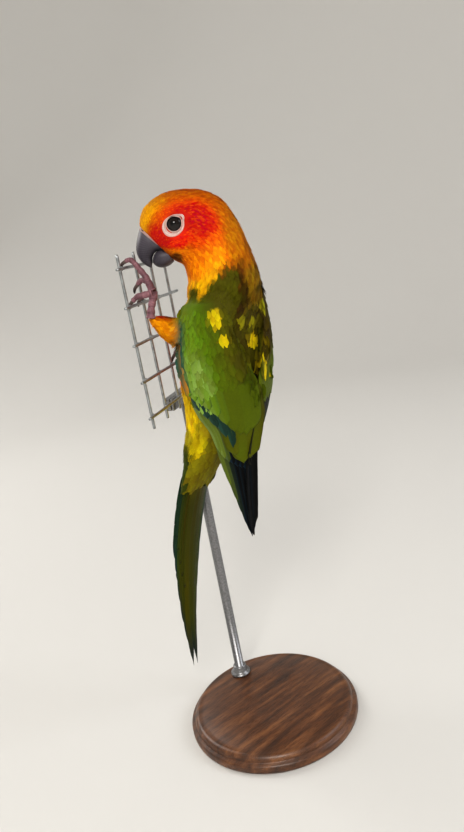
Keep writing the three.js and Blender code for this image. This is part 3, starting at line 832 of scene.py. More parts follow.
def new_group(name: str, inputs: Sequence[tuple[str, str]]) -> tuple[Bench, object]:
    """Start a geometry tree with a geometry socket at each end.

    Args:
        name: The tree's name.
        inputs: Pairs of a further input's name and its type.

    Returns:
        A bench on the tree and the sockets of its inputs.
    """
    tree = bpy.data.node_groups.new(name, "GeometryNodeTree")
    for socket, kind in (("Geometry", "Geometry"), *inputs):
        tree.interface.new_socket(name=socket, in_out="INPUT", socket_type=f"NodeSocket{kind}")
    tree.interface.new_socket(name="Geometry", in_out="OUTPUT", socket_type="NodeSocketGeometry")
    bench = Bench(tree)
    return bench, bench.add("NodeGroupInput").outputs


def end_group(bench: Bench, geometry: Socket, material: Socket) -> bpy.types.NodeTree:
    """Give a tree's geometry its material and lead it out."""
    painted = bench.add("GeometryNodeSetMaterial", inputs={"Geometry": geometry, "Material": material})
    bench.add("NodeGroupOutput", inputs={0: painted.outputs[0]})
    return bench.tree


def run_group(piece: Piece, tree: bpy.types.NodeTree, values: dict, name: str) -> Piece:
    """Run a geometry tree on a piece.

    Args:
        piece: The piece, which is used up.
        tree: The geometry tree.
        values: Values for the tree's inputs, by name.
        name: The name of the result.

    Returns:
        The plain result.
    """
    change = piece.modifiers.new("tree", "NODES")
    change.node_group = tree
    for item in tree.interface.items_tree:
        if item.in_out == "INPUT" and item.name in values:
            change[item.identifier] = values[item.name]
    return evaluated_copy(piece, name)


def grid_faces(rows: int, columns: int, closed: bool = True) -> list:
    """List the faces of a grid of points.

    Args:
        rows: How many faces it has along.
        columns: How many it has across.
        closed: Whether the last column joins the first.

    Returns:
        The point numbers of each face.
    """
    wide = columns if closed else columns + 1
    starts = [(r * wide + s, r * wide + (s + 1) % wide) for r in range(rows) for s in range(columns)]
    return [(a, b, b + wide, a + wide) for a, b in starts]


def joined(parts: Sequence[tuple[Array, list]]) -> tuple[Array, list]:
    """Join several lists of points and faces to one of each."""
    points, faces, start = [], [], 0
    for some, rings in parts:
        points.append(some)
        faces.extend([tuple(n + start for n in ring) for ring in rings])
        start += len(some)
    return np.concatenate(points), faces


def tinted_piece(name: str, points: Array, faces: list, tint: Array, facing: Array | None = None) -> Piece:
    """Make a piece with a stored tint, its faces outwards.

    Args:
        name: The piece's name.
        points: Its points in metres.
        faces: Its faces.
        tint: One linear colour for each point.
        facing: The way that an open sheet looks, or None for a closed shell.

    Returns:
        The new piece.
    """
    piece = new_piece(name, points, faces)
    store(piece.data, "tint", "FLOAT_COLOR", tint)
    if facing is None:
        outward(piece.data)
    elif sum(np.array(face.normal) @ facing for face in piece.data.polygons) < 0.0:
        piece.data.flip_normals()
    return piece


def declare(piece: Piece, material: object, replaced: Sequence[str] = ()) -> None:
    """Dress a finished piece and let it ride on the model.

    Args:
        piece: The finished piece.
        material: Its one material, or None where it has its own already.
        replaced: CAD nodes that the piece stands for.
    """
    if material:
        piece.data.materials.clear()
        piece.data.materials.append(material)
    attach(piece, "root")
    if replaced:
        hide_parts(*replaced)
    LOG.info("%s: %d faces", piece.name, len(piece.data.polygons))


# Markings


class Nearest:
    """Finds the nearest point of a sampled surface and its own coordinates."""

    def __init__(self, sample: Callable[[Array, Array], Array], first: Array, second: Array) -> None:
        """Sample the surface.

        Args:
            sample: Gives points for two equal lists of coordinates.
            first: Values of the first coordinate.
            second: Values of the second coordinate.
        """
        self.first, self.second = (g.ravel() for g in np.meshgrid(first, second, indexing="ij"))
        self.tree = tree_of(sample(self.first, self.second))

    def find(self, points: Array) -> tuple[Array, Array, Array]:
        """Find both coordinates and the distance of each point.

        Args:
            points: Points in metres.

        Returns:
            The first and second coordinates and the distances in millimetres.
        """
        found = [self.tree.find(p)[1:] for p in points]
        numbers, away = (np.array(v) for v in zip(*found))
        return self.first[numbers], self.second[numbers], away / MM


@dataclass(frozen=True)
class Fleck:
    """A yellow fleck on the mantle or the wings: its middle and its reach sideways and in height."""

    x: float
    y: float
    height: float
    wide: float
    tall: float
    colour: Plume = Plume.FLECK


@dataclass
class Markings:
    """The plumage's colours and the way it lies, for any point near the body."""

    flecks: tuple = (
        Fleck(13.4, 34.2, 251.8, 3.6, 6.2),
        Fleck(12.0, 34.6, 240.6, 2.6, 2.9),
        Fleck(-0.6, 37.9, 247.0, 2.2, 4.0, Plume.FLECK_DIM),
        Fleck(-7.4, 37.2, 245.6, 3.0, 3.6, Plume.FLECK_DIM),
        Fleck(-8.6, 34.8, 236.4, 4.0, 5.8),
        Fleck(-10.6, 31.5, 221.8, 2.8, 7.8),
        Fleck(-15.6, 38.0, 252.0, 2.4, 6.0, Plume.FLECK_DIM),
        Fleck(-18.4, 31.5, 214.0, 2.2, 5.6),
    )
    step: float = 0.06
    merge_mm: float = 0.9
    thigh_radii: tuple = (9.4, 8.4, 6.0, 3.1)
    body: Nearest = field(init=False)
    wings: dict = field(init=False)
    thighs: list = field(init=False)

    def __post_init__(self) -> None:
        """Sample the body, the wings and the thighs."""
        turn = np.linspace(-math.pi, math.pi, 121)
        self.body = Nearest(BODY.point, np.linspace(0.0, 18.0, 181), turn)
        self.wings = {}
        for side in (1, -1):
            sample = lambda place, across, s=side: WING.point(s, place, across)
            self.wings[side] = Nearest(sample, np.linspace(0.0, 6.0, 73), np.linspace(0.0, 1.0, 41))
        self.thighs = []
        for leg in (LEFT_LEG, RIGHT_LEG):
            path = leg.path(leg.thigh)
            sample = lambda along, _, p=path: spline_rows(p, along)
            self.thighs.append((path, Nearest(sample, np.linspace(0.0, 3.0, 31), np.zeros(1))))

    def body_colour(self, place: Array, angle: Array, noise: Array) -> Array:
        """Colour the head, neck and trunk.

        Args:
            place: Places along the rings.
            angle: Angles from the back, in radians.
            noise: Slow noise that makes the borders uneven.

        Returns:
            Linear colours.
        """
        around = np.degrees(np.abs(angle)) + 5.0 * noise
        place = place + 0.22 * noise

        def spot(at_place: float, at_around: float, reach_place: float, reach_around: float) -> Array:
            """A soft round weight about a place and an angle."""
            away = np.hypot((place - at_place) / reach_place, (around - at_around) / reach_around)
            return fall(0.55, 1.15, away)

        def past(low: float, high: float) -> Array:
            """The share of each point by how far it is down the body."""
            return smoothstep(low, high, place)

        def below(low: float, high: float) -> Array:
            """The share of each point by how far round from the back it is."""
            return smoothstep(low, high, around)

        ragged = 0.14 * np.sin(around * 0.62 + 4.0 * noise)
        fringe = smoothstep(7.55, 8.3, place + ragged) * below(30.0, 50.0)
        start = 8.2 + 0.85 * hump(around, 108.0, 8.0) + 1.1 * (1.0 - below(44.0, 60.0))
        green = smoothstep(-0.16, 0.16, place - start + ragged) * (1.0 - below(142.0, 154.0))
        late = past(8.7, 9.9)
        # painted shade: a dark brown band where the mantle feathers part, beside the ochre strip
        parting_shade = hump(around, 52.0 - 30.0 * late, 10.0) * past(8.5, 8.9) * (1.0 - past(10.2, 11.4))
        strip = hump(around, 27.0 - 20.0 * late, 9.0) * past(8.4, 8.8) * (1.0 - past(9.7, 10.4))
        middle = (1.0 - below(8.0, 30.0)) * past(9.9, 10.6) * (1.0 - past(11.2, 12.4))
        under = 94.0 - 24.0 * past(9.8, 10.8)
        return lay_over(Plume.CROWN, (
            (Plume.FOREHEAD, (1.0 - past(1.3, 3.0)) * (1.0 - below(50.0, 70.0))),
            (Plume.THROAT, past(4.2, 5.4) * below(58.0, 84.0)),
            (Plume.THROAT, below(112.0, 126.0) * past(0.5, 2.6)),
            (Plume.THROAT_LOW, past(6.1, 7.0) * below(70.0, 84.0)),
            (Plume.NAPE, past(4.6, 6.0) * (1.0 - below(54.0, 76.0))),
            (Plume.CHEEK, spot(3.7, 80.0, 2.8, 42.0)),
            (Plume.MASK_LOW, spot(2.6, 104.0, 2.0, 21.0)),
            (Plume.MASK_RED, spot(4.0, 73.0, 1.9, 25.0)),
            (Plume.MASK_RED, spot(0.9, 92.0, 1.4, 27.0)),
            # painted shadow: the chin feathers under the lower bill darkened to brown, as in the bill's
            # shade
            (Plume.NAPE_DARK, 0.85 * spot(2.0, 148.0, 1.6, 18.0)),
            (Plume.NECK_YELLOW, past(7.2, 7.9) * below(84.0, 102.0)),
            (Plume.NAPE_DARK, 0.9 * fringe * (1.0 - below(88.0, 98.0))),
            (Plume.NAPE_STRIP, past(8.0, 8.6) * (1.0 - below(34.0, 48.0))),
            (Plume.MANTLE, green),
            # painted shade where the mantle feathers part
            (Plume.MANTLE_DARK, 0.9 * parting_shade),
            (Plume.NAPE_STRIP, strip),
            (Plume.MANTLE_DARK, 0.45 * middle),
            (Plume.RUMP, past(13.4, 15.0) * (1.0 - below(36.0, 58.0))),
            (Plume.FLANK, smoothstep(0.0, 18.0, around - under) * past(9.5, 10.4)),
            (Plume.BELLY, below(108.0, 134.0) * past(9.4, 10.8)),
            (Plume.VENT_DULL, past(12.9, 14.3) * below(42.0, 60.0)),
            (Plume.VENT, past(12.9, 14.0) * below(80.0, 92.0) * (1.0 - past(15.0, 15.4))),
            (Plume.VENT, 0.35 * spot(15.7, 76.0, 0.7, 24.0)),
            (Plume.RUMP, past(16.0, 16.8)),
            (Plume.TAIL_GREEN, past(15.9, 16.6) * below(76.0, 90.0)),
        ))

    def wing_colour(self, side: int, place: Array, across: Array, noise: Array) -> Array:
        """Colour the arm of a wing.

        Args:
            side: 1 for the left wing, -1 for the right.
            place: Places among the wing's rows.
            across: 0 at the leading edge, 1 at the inner edge.
            noise: Slow noise that makes the borders uneven.

        Returns:
            Linear colours.
        """
        across = across + 0.04 * noise
        streaks = 0.5 + 0.5 * np.sin(across * 75.0 + 3.0 * noise)
        pale = smoothstep(2.0, 3.2, place) * smoothstep(0.1, 0.2, across) * fall(0.4, 0.6, across)
        edge = fall(0.09, 0.22, across) * fall(3.9, 4.3, place) * smoothstep(0.9, 1.5, place)
        # painted shade: on the right wing only, the upper coverts past the leading edge are darkened to dark
        # brown, as the side turned from the light
        dark = 0.75 * smoothstep(0.1, 0.25, across) * fall(2.7, 3.6, place) * (side < 0)
        return lay_over(Plume.COVERT, (
            (Plume.COVERT_BRIGHT, smoothstep(0.08, 0.2, across) * fall(0.34, 0.55, across)),
            (Plume.COVERT_PALE, (0.16 + 0.5 * streaks) * pale),
            (Plume.COVERT_OLIVE, smoothstep(0.5, 0.74, across)),
            (Plume.MANTLE, smoothstep(0.72, 0.92, across) * fall(3.2, 4.4, place)),
            (Plume.WING_EDGE, edge),
            # painted shade on the right wing's upper coverts
            (Plume.MANTLE_DARK, dark),
        ))

    def lie(self, point: Callable[[Array], Array], place: Array, step: float) -> Array:
        """The way that feathers lie: along the body from each place to the next."""
        return unit(point(place + step) - point(np.maximum(place - step, 0.0)))

    def read(self, points: Array) -> dict[str, Array]:
        """Find colours and lie of the plumage, and which part of the bird each point belongs to.

        Args:
            points: Points in metres.

        Returns:
            Colours, directions, the share of body, wing and thigh, and the body's own coordinates.
        """
        noise = wave_noise(points, 260.0, 7)
        place, angle, away = self.body.find(points)
        colours = [self.body_colour(place, angle, noise)]
        lies = [self.lie(lambda p: BODY.point(np.minimum(p, 18.0), angle), place, self.step)]
        gaps = [away + 0.4]
        wing_place = np.zeros(len(points))
        wing_across = np.zeros(len(points))
        wing_away = np.full(len(points), 1e3)
        for side, nearest in self.wings.items():
            row, across, far = nearest.find(points)
            colours.append(self.wing_colour(side, row, across, noise))
            lies.append(self.lie(lambda p: WING.point(side, p, across), row, self.step))
            gaps.append(far)
            closer = far < wing_away
            wing_place = np.where(closer, row, wing_place)
            wing_across = np.where(closer, across, wing_across)
            wing_away = np.where(closer, far, wing_away)
        for path, nearest in self.thighs:
            along, _, far = nearest.find(points)
            above = (points[:, 2] - spline_rows(path, along)[:, 2]) / MM
            top = smoothstep(1.4, 2.6, along) * smoothstep(0.0, 3.5, above)
            colours.append(lay_over(Plume.FLANK, ((Plume.THIGH_TOP, top),)))
            lies.append(self.lie(lambda p: spline_rows(path, p), along, 0.1))
            radius = np.interp(along, range(4), self.thigh_radii)
            gaps.append(np.where(far < radius + 1.5, np.abs(far - radius) + 0.8, 40.0))
        near = np.exp(-np.array(gaps) / self.merge_mm)
        near /= near.sum(axis=0)
        return {
            "colour": self.add_flecks(points, sum(w[:, None] * c for w, c in zip(near, colours))),
            "lie": unit(sum(w[:, None] * v for w, v in zip(near, lies))),
            "place": place,
            "angle": angle,
            "away": away,
            "body": near[0],
            "wing": near[1] + near[2],
            "thigh": near[3] + near[4],
            "wing_place": wing_place,
            "wing_across": wing_across,
            "wing_away": wing_away,
        }

    def add_flecks(self, points: Array, colour: Array) -> Array:
        """Lay the yellow flecks over the colours.

        Args:
            points: Points in metres.
            colour: Linear colours.

        Returns:
            The colours with the flecks.
        """
        for number, fleck in enumerate(self.flecks):
            ragged = 0.22 * wave_noise(points, 900.0, 30 + number, 2)
            reach = np.array([0.84 * fleck.wide, 10.0, 0.84 * fleck.tall])
            away = (points / MM - np.array([fleck.x, fleck.y, fleck.height])) / reach
            colour = blend(colour, fleck.colour, fall(0.72, 1.12, np.linalg.norm(away, axis=1) + ragged))
        return colour


# Finishes


@dataclass(frozen=True)
class PlumageFinish:
    """Feather surface: the stored colour with barbs, fringes and a little change from vane to vane."""

    name: str
    barbs: float = 26.0
    slant: float = 9.0
    fringe: float = 0.16
    relief_mm: float = 0.05
    root_shade: float = 0.72
    sheen: float = 0.03
    roughness: float = 0.66
    hue_change: float = 0.022

    def build(self) -> Material:
        """Build the material."""
        bench = Surface(self.name, Gloss(roughness=self.roughness, specular=0.09, sheen=self.sheen))
        tone = bench.attribute("tone")
        vane = bench.add("ShaderNodeUVMap", {"uv_map": "vane"}).outputs[0]
        across, along = bench.add("ShaderNodeSeparateXYZ", inputs={0: vane}).outputs[:2]
        side = bench.maths("ABSOLUTE", bench.maths("SUBTRACT", across, 0.5))
        slant = bench.maths("MULTIPLY", side, -self.slant)
        run = bench.maths("MULTIPLY_ADD", along, self.barbs, slant)
        swing = bench.maths("SINE", bench.maths("MULTIPLY", run, math.tau))
        waves = bench.maths("MULTIPLY_ADD", swing, 0.5, 0.5)
        near_root = bench.maths("SMOOTH_MIN", along, 0.55, 0.3)
        base = bench.maths("MULTIPLY_ADD", near_root, 1.8 * (0.99 - self.root_shade), self.root_shade)
        tip = bench.maths("MULTIPLY", bench.maths("POWER", along, 5.0), self.fringe)
        light = bench.maths("ADD", base, tip)
        for value, change in ((waves, 0.14), (bench.noise(900.0, 3.0), 0.3), (tone, 0.3)):
            factor = bench.maths("MULTIPLY_ADD", value, change, 1.0 - change / 2.0)
            light = bench.maths("MULTIPLY", light, factor)
        hue = bench.maths("MULTIPLY_ADD", tone, self.hue_change, 0.5 - self.hue_change / 2.0)
        bench.shade(bench.attribute("plumage", "Color"), light, hue)
        bench.relief(waves, self.relief_mm * MM, 0.6)
        return bench.material


@dataclass(frozen=True)
class SkinFinish:
    """The skin under the feathers, in the same markings, a little darker."""

    name: str = "skin_under_feathers"

    def build(self) -> Material:
        """Build the material."""
        bench = Surface(self.name, Gloss(roughness=0.8, specular=0.2))
        colour = bench.attribute("plumage", "Color")
        bench.feed("Base Color", bench.multiply(1.0, colour, (0.85, 0.82, 0.78, 1.0)))
        bench.relief(bench.noise(1500.0, 4.0), 0.0003)
        return bench.material


@dataclass(frozen=True)
class TintedFinish:
    """A surface of one stored colour with fine grain: bare skin, horn and scales."""

    name: str
    gloss: Gloss
    grain: float = 1600.0
    relief_mm: float = 0.06
    mottle: float = 0.25

    def build(self) -> Material:
        """Build the material."""
        bench = Surface(self.name, self.gloss)
        fine = bench.noise(self.grain, 4.0)
        both = bench.maths("ADD", fine, bench.noise(self.grain * 0.24))
        light = bench.maths("MULTIPLY_ADD", both, self.mottle, 1.0 - self.mottle)
        bench.shade(bench.attribute("tint", "Color"), light)
        bench.relief(fine, self.relief_mm * MM)
        return bench.material


@dataclass(frozen=True)
class MetalFinish:
    """Worn bright metal, with spangle or brushing."""

    name: str
    colour: tuple
    roughness: float = 0.38
    grain: float = 420.0

    def build(self) -> Material:
        """Build the material."""
        bench = Surface(self.name, Gloss(roughness=self.roughness, metallic=0.9))
        grain = bench.noise(self.grain, 3.0)
        low = tuple(0.62 * c for c in self.colour)
        bench.feed("Base Color", bench.ramp(grain, ((0.3, low), (0.7, self.colour))))
        bench.feed("Roughness", bench.maths("MULTIPLY_ADD", grain, 0.3, self.roughness - 0.12))
        bench.relief(grain, 0.00008)
        return bench.material


@dataclass(frozen=True)
class WoodFinish:
    """Oiled dark wood, its grain along X."""

    name: str = "turned_wood"

    def build(self) -> Material:
        """Build the material."""
        bench = Surface(self.name, Gloss(roughness=0.42, coat=0.25, coat_roughness=0.3))
        inputs = {0: bench.place(), 1: (1.0, 9.0, 9.0)}
        stretched = bench.add("ShaderNodeVectorMath", {"operation": "MULTIPLY"}, inputs).outputs[0]
        rings = bench.noise(26.0, 6.0, stretched)
        pores = bench.noise(240.0, 2.0, stretched)
        dark, middle, pale = linear(58, 34, 20), linear(98, 60, 34), linear(134, 88, 52)
        wood = bench.ramp(rings, ((0.3, dark), (0.52, middle), (0.72, pale)))
        spots = bench.ramp(pores, ((0.36, (0.45, 0.42, 0.4)), (0.5, (1.0, 1.0, 1.0))))
        bench.feed("Base Color", bench.multiply(0.7, wood, spots))
        bench.relief(pores, 0.0001)
        return bench.material


# The skin


FLESH = ("head", "neck", "trunk", "tail_coverts", "thigh_left", "thigh_right", "wing_left", "wing_right")
EYES = ("eye_ring_left", "eye_ring_right", "eye_left", "eye_right")


@dataclass
class Skin:
    """One closed skin over all flesh, drawn in by the depth of the coat."""

    marks: Markings
    grow_mm: float = 0.35
    voxel_mm: float = 0.85
    wing_mm: float = 0.9
    thigh_mm: float = 1.2
    piece: Piece = field(init=False)
    points: Array = field(init=False)
    normals: Array = field(init=False)
    facts: dict = field(init=False)
    tree: KDTree = field(init=False)

    def build(self, nodes: dict) -> Piece:
        """Make the skin from the frame's flesh.

        Args:
            nodes: The frame's objects by name.

        Returns:
            The skin.
        """
        shells = joined([self.grown(nodes[name].data) for name in (*FLESH, *EYES)])
        self.piece = voxel_piece("body_skin", *shells, self.voxel_mm, 7)
        mesh = self.piece.data
        outline = points_of(mesh)
        self.facts = self.marks.read(outline)
        self.points = outline - normals_of(mesh) * (self.depth(outline, self.facts) * MM)[:, None]
        set_points(mesh, self.points)
        mesh.shade_smooth()
        self.normals = normals_of(mesh)
        self.tree = tree_of(self.points)
        store(mesh, "plumage", "FLOAT_COLOR", self.facts["colour"])
        return self.piece

    def grown(self, mesh: MeshData) -> tuple[Array, list]:
        """Merge one part's loose faces and grow it a little, so that the parts join.

        Args:
            mesh: The part's mesh.

        Returns:
            Points in metres and faces.
        """
        loose = points_of(mesh)
        keys, first, same = np.unique(np.round(loose, 7), axis=0, return_index=True, return_inverse=True)
        same = same.ravel()
        sums = np.zeros((len(keys), 3))
        faces = []
        for face in mesh.polygons:
            ring = list(dict.fromkeys(int(same[v]) for v in face.vertices))
            if len(ring) > 2:
                faces.append(ring)
                sums[ring] += np.array(face.normal) * face.area
        return loose[first] + unit(sums) * self.grow_mm * MM, faces

    def depth(self, points: Array, facts: dict) -> Array:
        """How far the skin lies inside the flesh's outline, in millimetres.

        Args:
            points: Points on the outline.
            facts: What the markings say of them.

        Returns:
            Depths in millimetres.
        """
        body = np.interp(facts["place"], [0.0, 1.0, 6.0, 10.0, 18.0], [0.45, 0.7, 1.0, 1.5, 1.4])
        depth = body * facts["body"] + self.wing_mm * facts["wing"] + self.thigh_mm * facts["thigh"]
        near_eye = eye_gap(points)
        eye = fall(7.0, 10.0, near_eye)
        return self.grow_mm + depth * (1.0 - eye) + 0.55 * eye + 1.9 * fall(5.0, 6.8, near_eye)


# The coat


class VaneKind(Enum):
    """Shapes of a small feather."""

    SOFT = "soft"
    CONTOUR = "contour"
    FLUFFY = "fluffy"


@dataclass(frozen=True)
class VaneTemplate:
    """A small feather one unit long along +Y and one unit wide, its outer face up."""

    kind: VaneKind
    lift: float = 0.1
    camber: float = 0.1
    seed: int = 5
    cells: int = 6

    def build(self) -> Piece:
        """Make the template, hidden from the render."""
        shapes = {VaneKind.CONTOUR: self.leaf, VaneKind.SOFT: self.barbs, VaneKind.FLUFFY: self.barbs}
        points, faces, marks = shapes[self.kind]()
        piece = new_piece(f"vane_{self.kind.value}", np.array(points), faces)
        marks = np.array(marks)
        store_map(piece.data, "vane", marks)
        store(piece.data, "along", "FLOAT", marks[:, 1])
        store(piece.data, "across", "FLOAT", marks[:, 0] * 2.0 - 1.0)
        piece.hide_render = True
        return piece

    def outline(self, along: float) -> float:
        """Half the vane's width at a place along it."""
        tip = math.sqrt(max(1.0 - (max(along - 0.5, 0.0) / 0.5) ** 2.2, 0.0))
        return 0.5 * float(smoothstep(-0.35, 0.34, along)) * tip

    def height(self, x: float, along: float) -> float:
        """How high the vane stands: it rises from under the skin and droops to both sides."""
        return -0.05 + self.lift * min(along * 2.2, 1.0) + 0.03 * along - self.camber * (2.0 * x) ** 2

    def leaf(self) -> tuple[list, list, list]:
        """A closed vane as a grid with a slightly torn tip: its points, faces and own coordinates."""
        maker = np.random.default_rng(self.seed)
        points, marks = [], []
        for r in range(self.cells + 1):
            for c in range(self.cells + 1):
                u = c / self.cells * 2.0 - 1.0
                v = (r / self.cells) ** 0.85
                torn = -0.06 * (c % 2) - 0.04 * maker.random() if r == self.cells else 0.0
                along = v * (1.0 - 0.16 * abs(u) ** 1.6) + torn
                x = u * self.outline(0.93 * v)
                points.append((x, along, self.height(x, along)))
                marks.append((u * 0.5 + 0.5, v))
        return points, grid_faces(self.cells, self.cells, False), marks

    def barbs(self) -> tuple[list, list, list]:
        """An open vane of fine strips that fan from its shaft: its points, faces and own coordinates."""
        strips = 9 if self.kind is VaneKind.SOFT else 11
        maker = np.random.default_rng(self.seed)
        points, faces, marks = [], [], []
        for number in range(strips):
            u = number / (strips - 1) * 2.0 - 1.0
            reach = (1.0 - 0.26 * abs(u) ** 1.5) * maker.uniform(0.9, 1.03)
            for step, wide in enumerate((0.75, 1.0, 0.8, 0.0)):
                v = step / 3.0
                x = u * 0.5 * v ** 0.75 * (1.0 - 0.28 * max(0.0, v - 0.6) / 0.4)
                y = reach * (0.02 + 0.98 * v)
                half = 0.62 / strips * wide
                z = self.height(x, y) + 0.02 * (number % 3)
                for edge in ((-1, 1) if step < 3 else (0,)):
                    points.append((x + edge * half, y, z))
                    marks.append((u * 0.5 + 0.5, v))
            a = number * 7
            faces.extend([(a, a + 1, a + 3, a + 2), (a + 2, a + 3, a + 5, a + 4), (a + 4, a + 5, a + 6)])
        return points, faces, marks


def body_length(facts: dict, points: Array) -> Array:
    """The length of the body's feathers: smallest on the face, longest on the tail coverts."""
    steps = [0.0, 1.2, 3.0, 5.0, 7.0, 9.0, 10.5, 12.5, 15.0, 16.5, 18.0]
    sizes = [1.7, 2.2, 2.9, 3.6, 4.8, 6.2, 7.8, 9.0, 10.0, 13.0, 15.0]
    length = np.interp(facts["place"], steps, sizes)
    near = 0.62 + 0.38 * smoothstep(7.5, 12.5, eye_gap(points))
    near = near * (0.7 + 0.3 * smoothstep(9.0, 14.0, bill_gap(points)))
    flank = smoothstep(20.0, 45.0, np.degrees(np.abs(facts["angle"]))) * smoothstep(7.9, 8.9, facts["place"])
    return length * near * (1.0 - 0.7 * flank * fall(5.0, 12.0, facts["wing_away"]))


def wing_length(facts: dict, points: Array) -> Array:
    """The length of the wing's small feathers: shortest at the shoulder and the leading edge."""
    place, across = facts["wing_place"], facts["wing_across"]
    length = np.interp(place, [0.0, 1.0, 2.0, 3.0, 4.6], [5.4, 6.0, 7.6, 9.2, 10.6])
    length = length * (1.0 - 0.5 * fall(0.08, 0.24, across) * smoothstep(3.0, 4.2, place))
    return length * (0.5 + 0.5 * smoothstep(0.04, 0.3, across))


def thigh_length(facts: dict, points: Array) -> Array:
    """The length of the thigh's feathers."""
    return np.full(len(points), 5.2)


@dataclass(frozen=True)
class Tract:
    """One region of the coat: where it grows, how densely, and which vane it wears."""

    name: str
    slot: str
    kind: VaneKind
    spacing_mm: float
    where: Callable[[dict, Array], Array]
    slim: float
    seed: int
    jitter: float = 0.16
    finish: str = "soft"
    length_mm: Callable[[dict, Array], Array] = body_length


class CoatMaker:
    """Plants the tracts of small feathers on the skin with one node tree."""

    READ_AHEAD = 0.7
    PATCH = 0.003
    DENSITY = 2.6

    def __init__(self, skin: Skin, templates: dict, finishes: dict) -> None:
        """Keep what all tracts share.

        Args:
            skin: The finished skin.
            templates: Template objects by kind.
            finishes: Materials by name.
        """
        self.skin = skin
        self.templates = templates
        self.finishes = finishes
        self.tree = self.build_tree()

    def build_tree(self) -> bpy.types.NodeTree:
        """Build the planting tree: scatter, turn to the lie, instance, realize and set the material."""
        bench, given = new_group("plant_vanes", (
            ("Vane", "Object"), ("Spacing", "Float"), ("Jitter", "Float"),
            ("Seed", "Int"), ("Material", "Material"),
        ))

        def read(name: str, kind: str = "FLOAT_VECTOR") -> Socket:
            """Read a stored attribute."""
            return bench.add("GeometryNodeInputNamedAttribute", {"data_type": kind}, {0: name}).outputs[0]

        def draw(kind: str, output: int, inputs: dict) -> Socket:
            """Draw a random value for each vane."""
            return bench.add("FunctionNodeRandomValue", {"data_type": kind}, inputs).outputs[output]

        area = bench.maths("MULTIPLY", given["Spacing"], given["Spacing"])
        dense = bench.maths("DIVIDE", self.DENSITY, area)
        scatter = bench.add("GeometryNodeDistributePointsOnFaces", {"distribute_method": "POISSON"}, {
            "Mesh": given["Geometry"], "Distance Min": given["Spacing"], "Seed": given["Seed"],
            "Density Max": dense, "Density Factor": read("tract", "FLOAT"),
        })
        toned = bench.add("GeometryNodeStoreNamedAttribute", {"data_type": "FLOAT", "domain": "POINT"}, {
            "Geometry": scatter.outputs["Points"], "Name": "tone", "Value": draw("FLOAT", 1, {"Seed": 3}),
        })
        turned = bench.add("FunctionNodeAxesToRotation", {"primary_axis": "Z", "secondary_axis": "Y"}, {
            "Primary Axis": read("root_normal"), "Secondary Axis": read("lie"),
        }).outputs[0]
        limits = []
        for sign in (-1.0, 1.0):
            most = bench.maths("MULTIPLY", given["Jitter"], sign)
            lift = bench.maths("MULTIPLY", most, 0.35)
            limits.append(bench.add("ShaderNodeCombineXYZ", inputs={0: lift, 1: most, 2: most}).outputs[0])
        shake = draw("FLOAT_VECTOR", 0, {0: limits[0], 1: limits[1], "Seed": 11})
        loose = bench.add("FunctionNodeRotateRotation", {"rotation_space": "LOCAL"}, {0: turned, 1: shake})
        change = draw("FLOAT", 1, {2: 0.84, 3: 1.14, "Seed": 5})
        size = bench.add("ShaderNodeVectorMath", {"operation": "SCALE"}, {0: read("vane_size"), 3: change})
        settings = {"transform_space": "ORIGINAL"}
        vane = bench.add("GeometryNodeObjectInfo", settings, {"Object": given["Vane"]})
        planted = bench.add("GeometryNodeInstanceOnPoints", inputs={
            "Points": toned.outputs[0], "Instance": vane.outputs["Geometry"],
            "Rotation": loose.outputs[0], "Scale": size.outputs[0],
        })
        real = bench.add("GeometryNodeRealizeInstances", inputs={0: planted.outputs[0]})
        return end_group(bench, real.outputs[0], given["Material"])

    def plant(self, tract: Tract) -> Piece:
        """Grow one tract.

        Args:
            tract: The tract to grow.

        Returns:
            The finished coat piece.
        """
        skin, facts = self.skin, self.skin.facts
        mask = tract.where(facts, skin.points)
        length = tract.length_mm(facts, skin.points)
        bed = bpy.data.objects.new("bed", skin.piece.data.copy())
        bpy.context.scene.collection.objects.link(bed)
        lie = unit(facts["lie"] - skin.normals * (facts["lie"] * skin.normals).sum(axis=1)[:, None])
        chosen = np.flatnonzero(mask > 0.02)
        colour = np.array(facts["colour"])
        bend = np.zeros(len(mask))
        for number in chosen:
            reach = length[number] * self.READ_AHEAD
            spot, near, _ = skin.tree.find(skin.points[number] + lie[number] * (reach * MM))
            drop = (np.array(spot) - skin.points[number]) @ skin.normals[number] / MM
            bend[number] = np.clip(-drop / reach ** 2, -0.02, 0.05)
            colour[number] = facts["colour"][near]
        for name, kind, values in (
            ("tract", "FLOAT", mask),
            ("root_normal", "FLOAT_VECTOR", skin.normals),
            ("lie", "FLOAT_VECTOR", lie),
            ("bend", "FLOAT", bend),
            ("plumage", "FLOAT_COLOR", colour),
            ("vane_size", "FLOAT_VECTOR", np.stack([length * tract.slim, length, length], 1) * MM),
            ("unwrap", "FLOAT_VECTOR", self.unwrap(facts, chosen)),
        ):
            store(bed.data, name, kind, values)
        bed.data.materials.clear()
        piece = run_group(bed, self.tree, {
            "Vane": self.templates[tract.kind], "Spacing": tract.spacing_mm * MM, "Jitter": tract.jitter,
            "Seed": tract.seed, "Material": self.finishes[tract.finish],
        }, tract.name)
        self.settle(piece.data)
        declare(piece, None)
        return piece

    def unwrap(self, facts: dict, chosen: Array) -> Array:
        """Unroll the skin's own rings and rows into a flat square for one tract.

        Args:
            facts: What the markings say of the skin's points.
            chosen: The numbers of the points that bear the tract.

        Returns:
            One place on the square for each point.
        """
        wing = facts["wing"] > 0.5
        side = np.where(facts["angle"] > 0.0, 1.0, -1.0)
        across = np.where(wing, side * (1.4 - facts["wing_across"]), facts["angle"] / math.pi)
        down = np.where(wing, facts["wing_place"], facts["place"])
        flat = np.stack([across, down, np.zeros(len(down))], 1)
        low, high = flat[chosen].min(axis=0), flat[chosen].max(axis=0)
        return 0.01 + 0.97 * np.clip((flat - low) / np.maximum(high - low, 1e-6), 0.0, 1.0)

